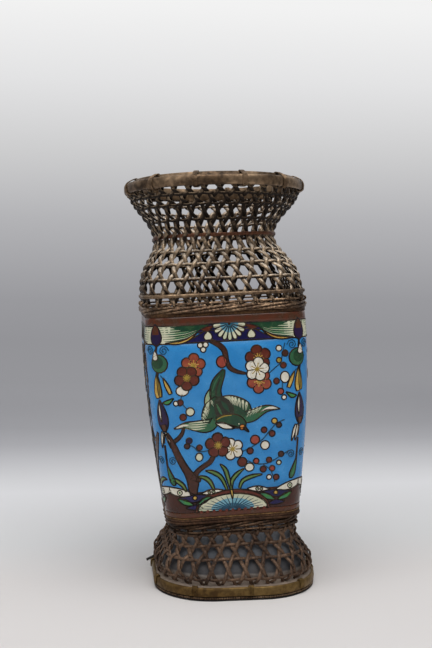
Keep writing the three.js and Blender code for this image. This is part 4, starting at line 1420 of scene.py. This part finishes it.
def body_and_head(drawing):
    strip, stroke = drawing.strip, drawing.stroke
    stroke([(-2, 140), (3, 135.8), (7.6, 131.6)], [5, 8.4, 6], forest, 6)
    stroke([(-14, 136), (-11.4, 132.4), (-8, 130)], [4, 6, 5], forest, 6)
    stroke([(-11.6, 147), (-8.6, 143.4), (-6, 138), (-4.6, 132.4)], [4, 11, 14, 11], night, 7)
    stroke([(-8.4, 145), (-5.4, 141), (-2.6, 136.6)], [0.4, 3, 0.6], forest, 8)
    stroke([(-11.6, 143), (-9.6, 138), (-7.6, 134)], [0.4, 1.6, 0.4], moss, 8)
    strip([(-12, 131), (-5, 131.4), (1.6, 130.2), (6, 127.4), (7.4, 125)], [4.6, 6.8, 8.2, 6.6, 3], forest, 9)
    stroke([(-12.4, 131.2), (-7, 133.6), (-0.8, 134)], [0.3, 0.9, 0.3], olive, 10)
    strip([(-12.6, 128.8), (-8, 127.4), (-4.6, 125.9), (0.6, 124.6)], [0.4, 3.8, 3.2, 0.3], white, 10)
    stroke([(-1.4, 125), (3, 124.5), (5.8, 124.4)], [0.3, 1.3, 0.5], night, 10)
    drawing.spot(6.4, 125, 1.9, orange, 10)
    strip([(7.6, 124.6), (9, 123.2), (10.9, 121.3)], [2.2, 1.4, 0.2], night, 10)
    drawing.spot(4, 127.4, 0.5, cream, 10, edged=False)


for drawing in PICTURES[::2]:
    tail_and_far_wing(drawing)
    wings(drawing)
    body_and_head(drawing)
finish_cells("birds")
for plate in (disc, ribbon, blossom):
    bpy.data.objects.remove(plate)

# %% [markdown]
# ## Stage, light and camera
# The vase stands on a pale table that runs back and up into a grey backdrop in one sweep, so no edge
# shows behind it. The table's grey is painted light: it is paler a short way behind the vase, against
# the vase's own shadow, and darker towards the back as painted shade. The upright part glows for the
# camera alone with a plain grey that grows paler with height. This is painted light, and it gives off
# no light to the vase.

# %% Backdrop
SWEEP_WIDTH = 6
SWEEP_START = -1.4
SWEEP_FROM = 1.0
SWEEP_RADIUS = 0.8
SWEEP_TO = 3.2
SWEEP_RISE = 2.4


def sweep_place(across, along):
    """Flat to a metre behind the vase, then a curve, then upright."""
    x = (across - 0.5) * SWEEP_WIDTH
    depth = between(SWEEP_START, SWEEP_TO, along)
    if depth <= SWEEP_FROM:
        return x, depth, 0
    angle = min((depth - SWEEP_FROM) / SWEEP_RADIUS, math.pi / 2)
    upright = SWEEP_RISE * max(depth - SWEEP_FROM - SWEEP_RADIUS * math.pi / 2, 0)
    y = SWEEP_FROM + SWEEP_RADIUS * math.sin(angle)
    return x, y, SWEEP_RADIUS * (1 - math.cos(angle)) + upright


def grey(value, cool=0):
    return paint(value, value, min(value + cool, 255))


backdrop = wrapped("backdrop", 8, 96, sweep_place)
backdrop.data.flip_normals()
sweep = Finish("backdrop paper", Roughness=0.9)
# Painted light: paler a short way behind the vase, against its shadow, and darker towards the back as painted
# shade.
FLOOR_PAINTED_LIGHT = [
    (0, paint(211, 207, 205)), (0.1, grey(213)), (0.2, grey(218, 1)), (0.3, grey(226, 2)),
    (0.36, grey(220, 2)), (0.47, grey(204, 3)), (0.6, grey(184, 4)), (0.75, grey(175, 4)),
    (1, grey(178, 4)),
]
sweep.give("Base Color", sweep.ramp(sweep.axis(sweep.place, "Y"), FLOOR_PAINTED_LIGHT))
# Painted light: the upright part glows for the camera alone, paler with height.
WALL_PAINTED_GLOW = [
    (0, grey(149, 4)), (0.1, grey(147, 4)), (0.19, grey(153, 4)), (0.4, grey(179, 3)),
    (0.59, grey(205, 1)), (0.79, grey(227, 1)), (0.98, grey(241)), (1, grey(242)),
]
z = sweep.axis(sweep.place, "Z")
glow = sweep.node("ShaderNodeEmission", {0: sweep.ramp(z, WALL_PAINTED_GLOW)})
SEEN_BY = ("Camera", "Glossy", "Transmission")
sight = sum(sweep.node("ShaderNodeLightPath", output=f"Is {kind} Ray") for kind in SEEN_BY)
share = sight * sweep.rising(z, 0, 0.03)
surface = sweep.tree.nodes["Principled BSDF"].outputs[0]
both = sweep.node("ShaderNodeMixShader", {0: share, 1: Value(sweep, surface), 2: glow})
sweep.join(both, sweep.tree.nodes["Material Output"].inputs["Surface"])
backdrop.data.materials.append(sweep.material)

# %% [markdown]
# A wide soft lamp high above does what a skylight does in a studio, so the tops of the wires are
# bright and their undersides dark. A weaker lamp fills from the left, and the world adds an even
# grey. Their levels are chosen so that a colour on the front side renders about as it is written.

# %% Lamps and world
def soft_lamp(name, place, aim, size, power):
    bpy.ops.object.light_add(type="AREA", location=place)
    lamp = bpy.context.object
    lamp.name = name
    lamp.data.shape = "DISK"
    lamp.data.size = size
    lamp.data.energy = power
    lamp.rotation_euler = (Vector(aim) - Vector(place)).to_track_quat("-Z", "Y").to_euler()


BODY_MIDDLE = (0, 0, 0.15)
WORLD_GREY = (0.75, 0.76, 0.78, 1)
WORLD_STRENGTH = 0.29
soft_lamp("skylight", (0.02, -0.66, 1.7), BODY_MIDDLE, 2, 36)
soft_lamp("fill", (-1.3, -0.6, 0.9), BODY_MIDDLE, 0.9, 3)
world = bpy.context.scene.world or bpy.data.worlds.new("World")
bpy.context.scene.world = world
world.use_nodes = True
background = world.node_tree.nodes["Background"]
background.inputs["Color"].default_value = WORLD_GREY
background.inputs["Strength"].default_value = WORLD_STRENGTH
bpy.context.scene.view_settings.view_transform = "Standard"

# %% [markdown]
# The camera stands a little left of the middle, about a vase's height up, and looks slightly down.
# Its lens and place come from how the rim, the shoulder and the foot line up in the photograph.

# %% Camera
CAMERA_PLACE = (-0.0808, -0.693, 0.2269)
YAW = math.radians(-6.5)
PITCH = math.radians(-2.48)
bpy.ops.object.camera_add(location=CAMERA_PLACE, rotation=(math.pi / 2 + PITCH, 0, YAW))
camera = bpy.context.object
camera.data.lens = 50
camera.data.sensor_width = 36
camera.data.clip_end = 20
bpy.context.scene.camera = camera
